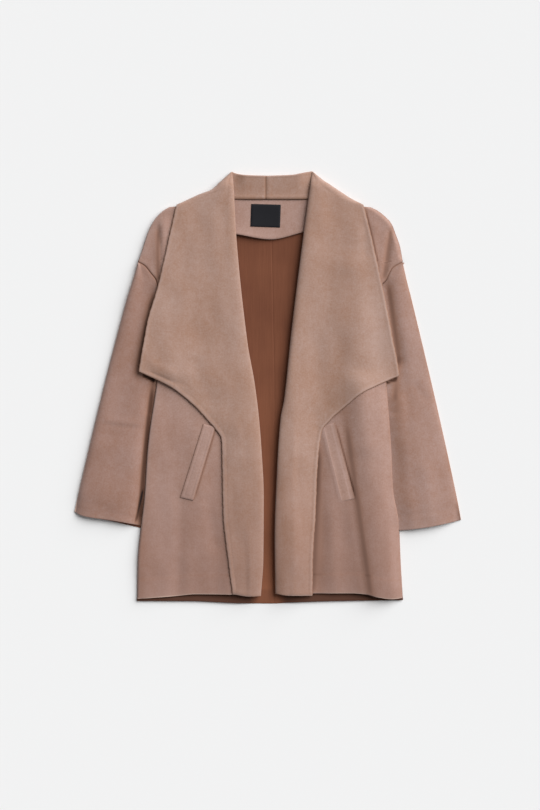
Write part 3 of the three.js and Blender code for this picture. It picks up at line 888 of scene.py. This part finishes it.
def wall(sheet, name, thickness, outside, inside, flipped=False):
    """A closed object; outside is the finish of the side that the sheet's faces turn to."""
    points = np.array(sheet.points)
    faces = np.concatenate(sheet.faces)
    faces = faces[:, ::-1] if flipped else faces
    place, wear_light_and_shade = points[:, :3], points[:, 3]
    normals = facing_out(place, faces)
    border = free_edges(faces)
    outward = off_the_edge(place, normals, border)
    rim = sorted({i for pair in border for i in pair})
    half, total = thickness / 2, len(place)
    corners = [place + normals * half, place - normals * half]
    rings = [{i: i for i in rim}]
    for k, turn in enumerate(np.radians(RIM_TURNS)):
        away = normals[rim] * math.cos(turn) + outward[rim] * math.sin(turn)
        corners.append(place[rim] + half * away)
        rings.append({i: 2 * total + k * len(rim) + spot for spot, i in enumerate(rim)})
    rings.append({i: i + total for i in rim})
    polygons = [tuple(dict.fromkeys(face)) for face in faces.tolist()]
    kinds = [0] * len(polygons) + [1] * len(polygons)
    polygons += [tuple(i + total for i in reversed(face)) for face in polygons]
    for start, end in border:
        for upper, lower in zip(rings, rings[1:]):
            polygons.append((upper[end], upper[start], lower[start], lower[end]))
            kinds.append(0)
    wear_light_and_shade_values = [wear_light_and_shade, wear_light_and_shade] + [wear_light_and_shade[rim]] * len(RIM_TURNS)
    return placed(name, wall_mesh(name, corners, polygons, kinds, (outside, inside), wear_light_and_shade_values))


def measured(piece):
    corners = np.array([piece.matrix_world @ v.co for v in piece.data.vertices]) / MM
    size = np.ptp(corners, axis=0)
    faces = len(piece.data.polygons)
    print(f"{piece.name}: {faces} faces, {size[0]:.0f} by {size[1]:.0f} by {size[2]:.1f} mm")


# %% [markdown]
# ## One half of the coat
#
# The left and the right half are cut alike and differ only in their tables, so one class
# turns either table into smooth edges. It also knows what every layer of a half shares:
# the roll, where the cloth turns over, and the unevenness of the stack, which has to be
# the same in each layer so that they never cross.


# %% The edges of a half, and the roll
class Half:
    def __init__(self, side, shape):
        self.side, self.shape, self.sign = side, shape, shape["sign"]
        self.roll = Chain(shape["roll"])
        body = [shape[key] for key in ("side_seam", "armhole", "shoulder", "collar_wrap")]
        facing = [shape[key] for key in ("strip_edge", "lapel_edge", "collar_wrap")]
        self.outline = Chain(*body)
        self.lapel_outline = Chain(*facing, pucker=0.25)
        self.sleeve_outline = Chain(shape["sleeve_edge"])
        self.corner = shape["lapel_edge"][0]["y"]
        self.front_hem = Line(shape["front_hem"], "out", "y")
        self.strip_hem = Line(shape["strip_hem"], "out", "y")
        self.back_hem = Line(shape["back_hem"], "out", "y")
        self.cuff = Line(shape["cuff"], "out", "y")
        self.collar_top = Line(shape["collar_top"], "out", "y")
        self.seam = Line(BACK_SEAM, "y", "x")
        self.fold = Line(shape["fold"], "y", "reach")
        self.edge_low = Line(shape["edge_low"], "y", "z")
        relief = shape["relief"]
        self.reach, self.rise, self.lift = (Line(relief, "y", key) for key in ("reach", "rise", "lift"))

    def row(self, out, y, z, wear_light_and_shade=0.0):
        """The points of a section, from their distances from the middle of the coat."""
        out = np.asarray(out, float)
        x = self.sign * out
        return np.stack([x, np.broadcast_to(y, out.shape), z, np.broadcast_to(wear_light_and_shade, out.shape)], -1)

    def body_edge(self, y):
        """Over the shoulder the body ends under the collar, out of sight."""
        return self.outline(y) - COLLAR_INSET * smooth(y, FALL_EDGE - 4.5, FALL_EDGE)

    def lay(self, out, y):
        """The unevenness that every layer shares."""
        hem = -2.6 * (1 - smooth(y, -424, -330))
        return 1.3 * undulation(self.sign * np.asarray(out, float), y, 3) + hem

    def rolled(self, level):
        """The roll at one height: its middle, its reach, and its top and bottom."""
        width = self.lapel_outline(level) - self.roll(level)
        peak = float(smooth(level, 398, 430))
        reach = min(float(self.reach(level)), 0.34 * width)
        top = between(FRONT + float(self.rise(level)) + STEP, 6.4, peak)
        low = between(FRONT - STEP, 4.2, peak)
        return self.roll(level) + CLOTH / 2 + reach, reach, top, low, peak


halves = {"left": Half("left", LEFT), "right": Half("right", RIGHT)}
for half in halves.values():
    print(half.side, "lapel corner at", round(half.lapel_outline(half.corner)), "mm from the middle")


# %% Seams and hems
def folded(y):
    """1 where a panel folds down to the one under it, 0 where it meets the sleeve."""
    return float(max(1 - smooth(y, UNDERARM - 14, UNDERARM), smooth(y, ARMHOLE_TOP - 1, ARMHOLE_TOP + 12)))


def armhole_seam(half, across, level):
    """Cloth dips into a seam, and the turnings under it make a low ridge each side."""
    away = across / slant(half.outline, level)
    return 0.8 * bell(away, 0, 1.5) - 0.12 * bell(away, 6, 3.5)


def seam_line(half, across, level):
    """The dark line where the nap is caught in a seam."""
    return -half.shape["seam_dark"] * bell(across / slant(half.outline, level), 0, 1.3)


def hem_relief(up, turning):
    """A turned-up hem: a little thicker, with a groove where its edge is sewn."""
    return HEM_THICKER * (1 - smooth(up, turning - 1.5, turning + 1.5)) - 0.35 * bell(up, turning, 2.0)


print("along the armhole a front is folded by", folded(100), "and below it by", folded(-100))


# %% [markdown]
# ## Cut, sew and lay down
#
# Each piece takes the place of its node in the imported model: it rides on the coat, the
# node is hidden, and its size is printed. The pieces are made from the table up.


def settle(piece, node):
    """The piece rides on the coat and replaces its node, and its size is printed."""
    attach(piece, "root")
    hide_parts(node)
    measured(piece)
    return piece


def settle_pair(make, node):
    """A left and a right piece, each replacing the node of its own side and riding on the coat."""
    pair = {}
    for side, half in halves.items():
        pair[side] = settle(make(half), f"{node}_{side}")
    return pair


# %% [markdown]
# ## The back
#
# The back is two halves joined by a seam down the middle, with the suede side on the table.
# Between the two fronts its smooth brown wrong side is seen. A flat plane would do for
# the middle, but a real hem is turned up and its outer half lifts off the table, so each
# half is built from sections, close together at the seam and at the side.


# %% The back, left and right
def back_height(y):
    """The middle of the back's cloth, which rises to the seam behind the neck."""
    return between(FLOOR, NECK, smooth(y, 330, 356))


def back_section(half, level):
    meets = SEAM_SHARE * slant(half.outline, level) * (1 - folded(level))
    outer = half.body_edge(level) - meets
    inner = half.sign * float(half.seam(level)) + GAP / 2
    share = np.r_[np.linspace(0, 0.8, 26), between(0.8, 1, np.linspace(0, 1, 18)[1:] ** 0.8)]
    out = between(outer, inner, share)
    y = section_y(level, out, half.back_hem)
    groove = 0.35 * bell(out - inner, 0, 1.4) - 0.25 * bell(out - inner, 4, 2.2)
    up = y - half.back_hem(out)
    lifted = 3.0 * (1 - smooth(up, 0, 16)) * smooth(out, 20, 60)
    # A painted shadow along the hem, where the fronts' hems shade the back, fainter in the middle.
    hem_shadow = -0.85 * (1 - smooth(up, 22, 30)) * between(0.3, 1, smooth(out, 18, 40))
    return half.row(out, y, back_height(level) - 0.3 * groove + lifted, hem_shadow)


def back_panel(half):
    fixed = [HEM_LEVEL, HEM_LEVEL + 3, HEM_LEVEL + 40, HEM_BEND, UNDERARM, 213, 236, ARMHOLE_TOP, 256]
    heights = levels(fixed + [313, 333, 347, 359, 364, BACK_TOP], 6)
    sheet = Sheet().grid(np.array([back_section(half, level) for level in heights]))
    return wall(sheet, f"back_panel_{half.side}", CLOTH, wrong_side, body_suede, flipped=half.sign > 0)


backs = settle_pair(back_panel, "back")

# %% [markdown]
# ## The sleeves
#
# A sleeve is one panel sewn into a tube, set into a dropped armhole and pressed almost
# flat by its own weight. Sewing a flat panel round in a cloth simulation would find that
# shape by itself, though not the exact edge that this sleeve has, so each section is drawn
# instead: an upper side that rises from the inner edge to a crest and falls to a rounded
# fold at the outer edge, and a lower side on the table. The tube is open at both ends.


# %% A sleeve's edges and its upper side
def sleeve_y(half, level, out):
    return section_y(level, out, half.cuff, CUFF_LEVEL, UNDERARM)


def sleeve_edges(half, level):
    """The outer and the inner edge of a section that slopes with the cuff."""
    outer, inner = half.sleeve_outline(level), half.outline(level)
    for _ in range(5):
        outer = half.sleeve_outline(float(sleeve_y(half, level, outer)))
        inner = half.outline(float(sleeve_y(half, level, inner)))
    outer += half.shape["nub"] * bell(level, ARMHOLE_TOP - 1, 2.2) - CLOTH / 2
    if level >= UNDERARM:
        return outer, inner + SEAM_SHARE * slant(half.outline, level)
    return outer, inner - half.shape["tuck"]


def sleeve_dome(half, level, across, inner, crest, outer):
    """How far the upper side has risen, from 0 at the outer fold to 1 at the crest."""
    run = half.shape["run"]
    start = between(half.shape["start"], 0.6, float(smooth(level, -40, UNDERARM)))
    rising = between(start, 1, smooth(across - inner, -0.3 * run, run))
    if level >= UNDERARM:
        flat = smooth(level, UNDERARM, UNDERARM + 50)
        rising = between(rising, 1.0, between(0.75, 1.0, flat))
    away = np.clip((across - crest) / (outer - crest), 0, 1)
    return np.where(across < crest, rising, (1 - away ** half.shape["dome"]) ** 0.5)


# %% A section of the sleeve
def sleeve_tube_section(half, level):
    """The tube before its creases: how far out it lies, how high, and which part is below."""
    shape = half.shape
    outer, inner = sleeve_edges(half, level)
    crest = between(inner, outer, shape["crest"])
    quarter = arc(0, 90, 22)
    rising_out = crest - (crest - inner) * np.cos(quarter[:-1])
    across = np.r_[rising_out, crest, crest + (outer - crest) * np.sin(quarter[1:])]
    top = between(FRONT, shape["loft"], 1 - smooth(level, -110, 30))
    top = top + shape["puff"] * smooth((across - crest) / (outer - crest), 0, 0.7)
    edge_z = FLOOR + SLEEVE_FOLD
    upper_z = edge_z + (top - edge_z) * sleeve_dome(half, level, across, inner, crest, outer)
    middle, radius = (edge_z + FLOOR) / 2, (edge_z - FLOOR) / 2
    turn = arc(90, -90, 12)[1:-1]
    low_z = np.full(len(across), FLOOR)
    if level < UNDERARM:
        upper_z[0] = low_z[-1] = middle
    out = np.r_[across, np.full(len(turn), outer), across[::-1]]
    z = np.r_[upper_z, middle + radius * np.sin(turn), low_z]
    return out, z, np.arange(len(out)) >= len(across) + len(turn), (inner, crest, outer)


def sleeve_section(half, level):
    open_side = level >= UNDERARM
    out, z, lower, (inner, crest, outer) = sleeve_tube_section(half, level)
    x, y = half.sign * out, sleeve_y(half, level, out)
    up = y - half.cuff(out)
    upper = smooth(z, FLOOR + SLEEVE_FOLD, FLOOR + 6)
    from_seam = (out - inner) / slant(half.outline, level)
    own = smooth(from_seam, 2, 40) if level > UNDERARM - 60 else 1.0
    waves = between(half.lay(out, y), 1.5 * undulation(x, y, 23), own)
    waves = waves - creased(SLEEVE_CREASES, half.side, x, y)
    at_cuff = 1 - smooth(up, 0, 12)
    y = y - half.shape["longer_below"] * lower * (1 - smooth(out, 240, 370)) * at_cuff
    corner = smooth((out - crest) / (outer - crest), 0.3, 1) * (1 - smooth(up, 0, 50))
    relief = hem_relief(y - half.cuff(out), CUFF_TURNING) if level < 0 else 0.0
    seam = armhole_seam(half, out - inner, level) if open_side else 0.0
    z = z + upper * (waves + relief - seam - 1.6 * (1 - smooth(up, -4, 60)) - 4.5 * corner)
    z = np.where(upper > 0.5, np.maximum(z, FLOOR + CLOTH + GAP), z)
    # Strokes of painted light and shade on the upper side, a pale cuff edge, painted light along the outer
    # fold on the left and painted shade on the right, a painted shadow on the lower layer where it shows
    # past the cuff, and the dark of the seam.
    wear_light_and_shade = painted_light_and_shade("sleeve", half.side, x, y) * smooth(z, FLOOR + 0.2, FLOOR + 1.2)
    wear_light_and_shade = wear_light_and_shade + 0.3 * fading(np.abs(up), 5) + half.shape["edge_nap"] * fading(outer - out, 2.5)
    wear_light_and_shade = wear_light_and_shade - 0.8 * lower * at_cuff
    if open_side:
        wear_light_and_shade = wear_light_and_shade + seam_line(half, out - inner, level) * upper
    return half.row(out, y, z, wear_light_and_shade)


# %% The sleeves, left and right
def sleeve_tube(half):
    heights = levels([248, 236, 213, 54, UNDERARM, -200, -244, -267, CUFF_LEVEL], SPACING)
    sheet = Sheet().grid(np.array([sleeve_section(half, level) for level in heights]))
    cloth = sleeve_suede[half.side]
    return wall(sheet, f"sleeve_tube_{half.side}", CLOTH, cloth, wrong_side, flipped=half.sign > 0)


settle_pair(sleeve_tube, "sleeve")

# %% [markdown]
# ## The fronts
#
# A front is one piece of cloth from the side seam to its free edge, which is hidden under
# the lapel. A section of it starts at the side seam, low on the back, rises over the fold
# at the side, runs in to the roll, turns over there, and comes back out as the under side
# of the lapel. A modifier could bend a flat panel, but the roll is wide at the hem, tight
# at the neck and leans all the way, so each section turns by its own amount.


# %% Heights on the front and on the lapel
def front_height(half, out, y):
    x = half.sign * np.asarray(out, float)
    z = FRONT + half.lay(out, y) - creased(FRONT_CREASES, half.side, x, y)
    return np.maximum(z, LOWEST_FRONT)


def lapel_height(half, level, out, y):
    """Middle of the facing on the lapel; the lapel's under side is one step lower."""
    centre, _, top, _, peak = half.rolled(level)
    edge = half.lapel_outline(level)
    share = np.clip((out - centre) / (edge - centre), 0, 1)
    x = half.sign * np.asarray(out, float)
    rest = between(FRONT + 2 * STEP + 0.4, top, peak)
    down = smooth(out - centre, 0, min(half.shape["settle"], 1.1 * (edge - centre)))
    down = between(down, share**2, half.shape["strip_dome"] * float(1 - smooth(level, -150, -100)))
    away = smooth(share, 0.02, 0.3)
    lift = float(half.lift(level)) * share**2 * (3 - 2 * share)
    z = between(top, rest, down) + lift + 1.3 * undulation(x, y, 11) * away
    z = z + half.lay(out, y) * (1 - peak) - creased(LAPEL_CREASES, half.side, x, y) * away
    if level > FRONT_TOP:
        return z
    floor = front_height(half, out, y) + 2 * STEP + 0.2
    over = z - floor
    return floor + (over + np.sqrt(over**2 + 1.0)) / 2


# %% From the side seam to the roll
# Where the points of each part of a section are; the lapel's crowd together at its edge.
SHARES = {
    "fold": np.linspace(0, 1, 9),
    "body": np.linspace(0, 1, 70)[1:],
    "lapel": np.r_[np.linspace(0, 0.95, 50)[1:], 0.965, 0.978, 0.986, 0.991, 0.995, 0.998, 1],
}


def front_wear_light_and_shade(half, level, out, y, from_edge):
    """The nap is open and pale at the hem, with a painted highlight along its edge and a faint mark above
    it where the turning ends; strokes of painted light and shade lie over it, light is painted along the
    left side fold and shade along the right, and a seam is dark.
    """
    up = y - half.front_hem(out)
    wear_light_and_shade = 1.8 * bell(up, 0, 1.8) - 0.4 * bell(up, HEM_TURNING - 2, 3) + 0.3 * fading(up, 6)
    wear_light_and_shade = wear_light_and_shade + painted_light_and_shade("front", half.side, half.sign * out, y)
    wear_light_and_shade = wear_light_and_shade + half.shape["edge_nap"] * fading(from_edge, 2.5) * folded(level)
    return wear_light_and_shade + seam_line(half, from_edge, level) * (1 - folded(level))


def front_body(half, level):
    joined = 1 - folded(level)
    inner, steep = half.rolled(level)[0], slant(half.outline, level)
    outer = half.body_edge(level) - (SEAM_SHARE * steep if joined >= 0.5 else CLOTH / 2)
    reach = min(float(half.fold(level)) * min(steep, 1.8), (outer - inner) / 3)
    low = max(back_height(level) + CLOTH / 2 + GAP, float(half.edge_low(level)) * (level < UNDERARM))
    turn = SHARES["fold"] * math.pi / 2
    share = 1 - np.cos(turn)
    fold_out = outer - reach * share
    fold_y = section_y(level, fold_out, half.front_hem)
    top = front_height(half, fold_out, fold_y)
    steep_side = half.shape["wall"] * np.sin(np.minimum(turn * 3, math.pi / 2))
    domed = between(steep_side, 1, share * (2 - share))
    fold_z = between(top, between(low, top, domed), folded(level))
    flat_out = between(outer - reach, inner, SHARES["body"])
    flat_y = section_y(level, flat_out, half.front_hem)
    out, y = np.r_[fold_out, flat_out], np.r_[fold_y, flat_y]
    z = np.r_[fold_z, front_height(half, flat_out, flat_y)]
    z = z - armhole_seam(half, outer - out, level) * joined
    z = z + hem_relief(y - half.front_hem(out), HEM_TURNING)
    return half.row(out, y, z, front_wear_light_and_shade(half, level, out, y, outer - out))


# %% Over the roll and back out
def under_lapel(half, level):
    centre, reach, top, _, _ = half.rolled(level)
    turn = arc(-80, 90, 14)
    bend_out = centre - (reach - STEP) * np.cos(turn)
    y = section_y(level, bend_out, half.strip_hem)
    rise = (top - STEP - FRONT) / 2
    bend_z = FRONT + half.lay(bend_out, y) + rise * (1 + np.sin(turn))
    bend_z = bend_z - creased(FRONT_CREASES, half.side, half.sign * bend_out, y) * (turn < 0)
    edge = half.body_edge(level) if level > FALL_EDGE else half.lapel_outline(level)
    flat_out = between(centre, edge - 0.9, SHARES["lapel"])
    flat_y = section_y(level, flat_out, half.strip_hem)
    closing = GAP * fading(edge - flat_out, 3.0) if level <= FALL_EDGE else 0.0
    flat_z = lapel_height(half, level, flat_out, flat_y) - STEP + closing
    return half.row(np.r_[bend_out, flat_out], np.r_[y, flat_y], np.r_[bend_z, flat_z])


def shared_levels(half):
    """The heights of the sections that a front and its lapel have in common."""
    low = [HEM_LEVEL, HEM_LEVEL + 3, HEM_LEVEL + 40, HEM_BEND, -104, -90, UNDERARM - 14, UNDERARM]
    high = [half.corner - 8, half.corner, 54, 213, 230, *range(233, 262, 2), 313, 347, 359]
    return levels(low + high, SPACING)


# %% The fronts, left and right
def front_panel(half):
    heights = shared_levels(half) + [364, 368, 372, 376, 380, FRONT_TOP]
    rows = [np.concatenate([front_body(half, level), under_lapel(half, level)]) for level in heights]
    sheet = Sheet().grid(np.array(rows))
    return wall(sheet, f"front_panel_{half.side}", CLOTH, body_suede, wrong_side, flipped=half.sign > 0)


fronts = settle_pair(front_panel, "front")

# %% [markdown]
# ## Facing, lapel and collar in one
#
# On a shawl collar the facing, the lapel and the collar are cut in one piece, so the only
# seam is the one at the middle of the back of the neck. The facing follows the front a
# layer further out, so at the roll it is the facing that shows. Over the shoulder it
# turns down, and behind the neck it stands up, folds over, and falls under the back.
# Building it as one sheet keeps the roll and the shoulder smooth.


# %% The lapel, over the front
def lapel_over(half, level, centre, edge):
    """The lapel is a little thicker along its edge, where the seam is turned in."""
    out = between(centre, edge - 0.2, np.r_[0, SHARES["lapel"]])
    y = section_y(level, out, half.strip_hem)
    inward = (edge - out) / slant(half.lapel_outline, level)
    up = y - half.strip_hem(out) if level < HEM_BEND else np.full(out.shape, 99.0)
    near = np.minimum(inward, up)
    ridge = 0.2 * (1 - smooth(near, 4, 9)) - 0.15 * bell(near, 8.5, 2.4)
    z = lapel_height(half, level, out, y) + ridge - 0.9 * fading(near, 1.3)
    # A pale line just inside the edge, a painted shadow line along the edge itself, a painted highlight
    # along the strip's hem, and strokes of painted light and shade.
    at_edge = 1.1 * bell(near, 2.6, 1.4) - 2.4 * fading(near, 0.8)
    wear_light_and_shade = np.where(up < inward, 2.0 * bell(up, 0, 1.8), at_edge)
    return half.row(out, y, z, wear_light_and_shade + painted_light_and_shade("lapel", half.side, half.sign * out, y))


def lapel_wrap(half, level, centre, edge):
    """Above its free edge the lapel turns down over the shoulder."""
    reach = min(22, (edge - centre) * 0.6)
    edge -= CLOTH / 2
    turn = arc(0, 90, 16)
    turn_out = edge - reach * (1 - np.sin(turn))
    count = len(SHARES["lapel"]) + 1
    flat_out = between(centre, edge - reach, np.linspace(0, 1, count - 15)[:-1])
    flat_z = lapel_height(half, level, flat_out, level)
    start = float(lapel_height(half, level, np.array([edge - reach]), level)[0])
    drop = ((start - FLOOR) / 2) * smooth(level, FALL_EDGE, FALL_EDGE + 8)
    out = np.r_[flat_out, turn_out]
    z = np.r_[flat_z, start - drop * (1 - np.cos(turn))]
    return half.row(out, level, z, 0.35 * smooth(out, edge - 14, edge))


# %% A section of the facing
def lapel_section(half, level):
    centre, reach, top, low, peak = half.rolled(level)
    edge = half.lapel_outline(level)
    inner = centre + min(34, (edge - centre) * 0.3)
    behind_out = between(inner, centre, np.linspace(0, 1, 9))
    behind_y = section_y(level, behind_out, half.strip_hem)
    lay = half.lay(behind_out, behind_y) * (1 - peak)
    behind_z = low + lay - creased(FRONT_CREASES, half.side, half.sign * behind_out, behind_y)
    turn = arc(-84, 84, 21)
    bend_out = centre - reach * np.cos(turn)
    bend_y = section_y(level, bend_out, half.strip_hem)
    bend_lay = half.lay(bend_out, bend_y) * (1 - peak)
    bend_z = (top + low) / 2 + (top - low) / 2 * np.sin(turn) + bend_lay
    behind = half.row(behind_out, behind_y, behind_z)
    # Strokes of painted light and shade over the roll.
    bend = half.row(bend_out, bend_y, bend_z, painted_light_and_shade("lapel", half.side, half.sign * bend_out, bend_y))
    turned_over = lapel_over if level < FALL_EDGE else lapel_wrap
    return np.concatenate([behind, bend, turned_over(half, level, centre, edge)])


# %% The collar's fall and fold
COLLAR_FOLD = 2.2


def fall(x, y, z, low):
    """Down behind the neck, flat under the back."""
    flat_y = between(y[-1], FALL_EDGE, np.linspace(0, 1, 12)[1:])
    y, z = np.r_[y, flat_y], np.r_[z, np.full(flat_y.shape, low)]
    return np.stack([np.full(y.shape, x), y, z, np.zeros(y.shape)], -1)


def shoulder_fall(edge, turn):
    """The fall along the shoulder, from the points where the lapel's last section ends."""
    tip = edge[0]
    columns = []
    for point in edge:
        low = between(tip[2], FLOOR, smooth(abs(tip[0] - point[0]), 0, 12))
        reach = min(4, (point[1] - FALL_EDGE) * 0.5)
        y = point[1] - reach * (1 - np.cos(turn))
        columns.append(fall(point[0], y, between(point[2], low, np.sin(turn)), low))
    return columns


def stand_column(half, out, top, radius, swell, top_middle, turn):
    """The stand, from the fold along its top down to the seam of the neck."""
    down = np.linspace(0, 1, 24)[1:]
    from_seam = out - half.sign * COLLAR_SEAM
    seam = bell(from_seam, 0, 2.6)
    open_seam = 0.4 * bell(from_seam, 7, 3.0) * (half.sign > 0)
    high, low = FLOOR + 2 * radius, STAND + 1.6 + 1.4 * swell
    turned = (1 - down) * (top_middle - NECK_SEAM)
    flat_z = between(high, low, smooth(down, -0.3, 0.9)) - 0.5 * seam + open_seam
    flat_z = flat_z - 1.3 * fading(turned, 1.0) + 0.6 * bell(turned, 5, 2.5)
    y = np.r_[top + COLLAR_FOLD * np.cos(turn), between(top, NECK_SEAM - 1.0, down)]
    z = np.r_[FLOOR + radius * (1 + np.sin(turn)) - 0.5 * seam * np.sin(turn), flat_z]
    # Pale along the fold at the top, a little darker over the stand, a painted shadow where the stand
    # turns under at the neck seam, and dark at the middle seam.
    wear_light_and_shade = np.r_[0.3 * np.cos(turn), -0.3 - 2.2 * fading(turned, 1.2)] - 1.2 * seam**4
    return half.row(np.full(y.shape, out), y, z, wear_light_and_shade)


# %% The collar
def collar(half, sheet, edge):
    """Behind the neck: the fall under the back, the fold along the top, and the stand."""
    turn = arc(0, 90, 9)
    peak = half.shape["collar_top"][-1]["out"]
    spread = np.linspace(peak, half.sign * COLLAR_SEAM + GAP / 2, 28)
    bulge = smooth(peak - spread, 0, 30)
    radii = (STAND + 7.0 * bulge - FLOOR) / 2
    tops = half.collar_top(spread) - CLOTH / 2 - COLLAR_FOLD
    behind = shoulder_fall(edge, turn)
    for out, top, radius in zip(spread, tops, radii):
        y, z = top + COLLAR_FOLD * np.cos(turn), FLOOR + radius * (1 - np.sin(turn))
        behind.append(fall(half.sign * out, y, z, FLOOR))
    sheet.grid(np.array(behind))
    sizes = zip(spread, tops, radii, bulge)
    sheet.grid(np.array([stand_column(half, *size, tops.mean(), turn) for size in sizes]), flipped=True)


# %% The lapels, left and right
def lapel_and_collar(half):
    over_shoulder = levels([FALL_EDGE, FALL_EDGE + 3, 372, 384, 400, 420, 429.4], 2.6)
    wrapped = [lapel_section(half, level) for level in over_shoulder]
    sections = [lapel_section(half, level) for level in shared_levels(half)]
    sheet = Sheet().grid(np.array(sections + wrapped))
    collar(half, sheet, np.array([section[-1] for section in wrapped]))
    name = f"lapel_and_collar_{half.side}"
    return wall(sheet, name, CLOTH, lapel_suede, wrong_side, flipped=half.sign < 0)


settle_pair(lapel_and_collar, "lapel")

# %% [markdown]
# ## The pocket welts
#
# A welt is a folded strip sewn over the opening of a pocket, at a slant that suits the
# hand. It could be a box with bevelled edges, but it lies on a front that isn't flat, so
# it is a small sheet that takes its height from the front, with a crown and a low line of
# stitching round it. The right one is sewn in flatter, along its inner side.


# %% The welts, left and right
WELT_WIDE, WELT_LONG = 23, 150


def welt_row(half, down):
    size = half.shape["welt"]
    over = np.r_[0, 0.02, 0.05, np.linspace(0.09, 0.91, 16), 0.95, 0.98, 1]
    top = between(size["top_in"], size["top_out"], over)
    low = between(size["low_in"], size["low_out"], over)
    out = between(top, low, down)
    y = between(size["top_y"], size["low_y"], down) + 6 * (over - 0.5)
    edge = np.minimum(np.minimum(over, 1 - over) * WELT_WIDE, min(down, 1 - down) * WELT_LONG)
    crown = 1.25 + 0.5 * smooth(edge, 0, 3) - 0.35 * bell(edge, 5.5, 1.2)
    crown = between(crown, 1.15 * over - 0.2, size["sewn_in"])
    near, far = size["edges"]
    # Painted light over the face, a pale painted line along the right welt's fold, painted shade along the
    # outer edges and the left welt's inner edge, and on the right welt a painted highlight along its inner
    # edge, over the shadow of its step.
    fold = bell((over - 0.7) * WELT_WIDE, 0, 1.3) - 0.5
    wear_light_and_shade = 0.7 + fold * size["sewn_in"] - near * fading(over * WELT_WIDE, 0.7)
    wear_light_and_shade = wear_light_and_shade - far * fading((1 - over) * WELT_WIDE, 0.7)
    return half.row(out, y, front_height(half, out, y) + crown + GAP, wear_light_and_shade)


def pocket_welt(half):
    sheet = Sheet().grid(np.array([welt_row(half, down) for down in np.linspace(0, 1, 60)]))
    cloth = welt_suede[half.side]
    return wall(sheet, f"pocket_welt_{half.side}", CLOTH, cloth, body_suede, flipped=half.sign > 0)


settle_pair(pocket_welt, "welt")

# %% [markdown]
# ## The back neck facing and the label
#
# Inside the back of the neck a facing in the same suede covers the seam and carries the
# label. Its lower edge dips to a shallow point and hangs free. The label is a short
# ribbon sewn on it, not quite square. Both are small sheets with one height function
# between them, so that the label can't sink into the facing.

# %% The facing's lower edge, and its height
FACING_TOP = NECK_SEAM + 1.5
FACING_LEFT, FACING_RIGHT = -82, 96
FACING_LOWER = Line(table("x y", (-86, 309), (-62, 305.5), (5, 295.5), (70, 310), (100, 318)), "x", "y")


def facing_height(x, y):
    """The facing hangs free below the label, so its lower edge stands off the back."""
    down = (FACING_TOP - y) / (FACING_TOP - FACING_LOWER(x))
    lift = 1.6 * down**2 + 3.2 * bell(x, -48, 40) * down**4
    seam = 0.3 * fading(FACING_TOP - y, 6)
    return STAND - 0.4 * down - seam + lift + 0.3 * undulation(x, y, 31)


# %% The facing
def facing_row(x, down):
    y = between(FACING_TOP, FACING_LOWER(x), down)
    up = y - FACING_LOWER(x)
    z = facing_height(x, y) + 0.2 * (1 - smooth(up, 4, 7)) - 0.7 * fading(up, 1.2)
    # Paler over the facing, less towards its lower edge, and a painted shadow along its top, under the
    # stand.
    wear_light_and_shade = 0.5 - 0.3 * down - 2.9 * fading(FACING_TOP - y, 1.6)
    return np.stack([x, y, z, wear_light_and_shade], -1)


def neck_facing():
    x = np.linspace(FACING_LEFT, FACING_RIGHT, 90)
    sheet = Sheet().grid(np.array([facing_row(x, down) for down in np.linspace(0, 1, 40)]))
    return wall(sheet, "back_neck_facing_cloth", CLOTH, body_suede, wrong_side, flipped=True)


facing = settle(neck_facing(), "back_neck_facing")

# %% The label
LABEL_THICK = 0.8
LABEL_LEFT, LABEL_RIGHT = -33.0, 25.6
LABEL_TOP, LABEL_LOW = 365.8, 321
LABEL_WIDE, LABEL_LONG = 58, 45


def label_row(down):
    """The label leans a little, and its lower edge more than its upper one."""
    x = np.linspace(LABEL_LEFT - 1.5 * down, LABEL_RIGHT - 1.5 * down, 36)
    across = (x - LABEL_LEFT) / LABEL_WIDE
    y = between(LABEL_TOP, LABEL_LOW, down) - 1.6 * across * (1 - down) - 1.9 * across * down
    edge = np.minimum(np.minimum(x - x[0], x[-1] - x), min(down, 1 - down) * LABEL_LONG)
    z = facing_height(x, y) + 1.15 + 0.3 * smooth(edge, 0, 2.5)
    return np.stack([x, y, z, np.zeros(x.shape)], -1)


sheet = Sheet().grid(np.array([label_row(down) for down in np.linspace(0, 1, 30)]))
label = wall(sheet, "woven_label", LABEL_THICK, label_satin, label_satin, flipped=True)
settle(label, "label")

# %% [markdown]
# ## The surface under the coat
#
# The coat lies on a plain, pale, matt surface. Four corners are enough for it, far enough
# apart to fill the view.

# %% The surface
SURFACE_REACH = 6.0

pale_surface = Finish("pale_surface").surface(
    {"Base Color": (0.856, 0.858, 0.86, 1), "Roughness": 0.9, "Specular IOR Level": 0.1}
)
floor_mesh = bpy.data.meshes.new("floor")
corners = [(x * SURFACE_REACH, y * SURFACE_REACH, 0) for x, y in ((-1, -1), (1, -1), (1, 1), (-1, 1))]
floor_mesh.from_pydata(corners, [], [(0, 1, 2, 3)])
floor_mesh.materials.append(pale_surface)
floor = placed("floor", floor_mesh)
print("surface,", 2 * SURFACE_REACH, "m wide")
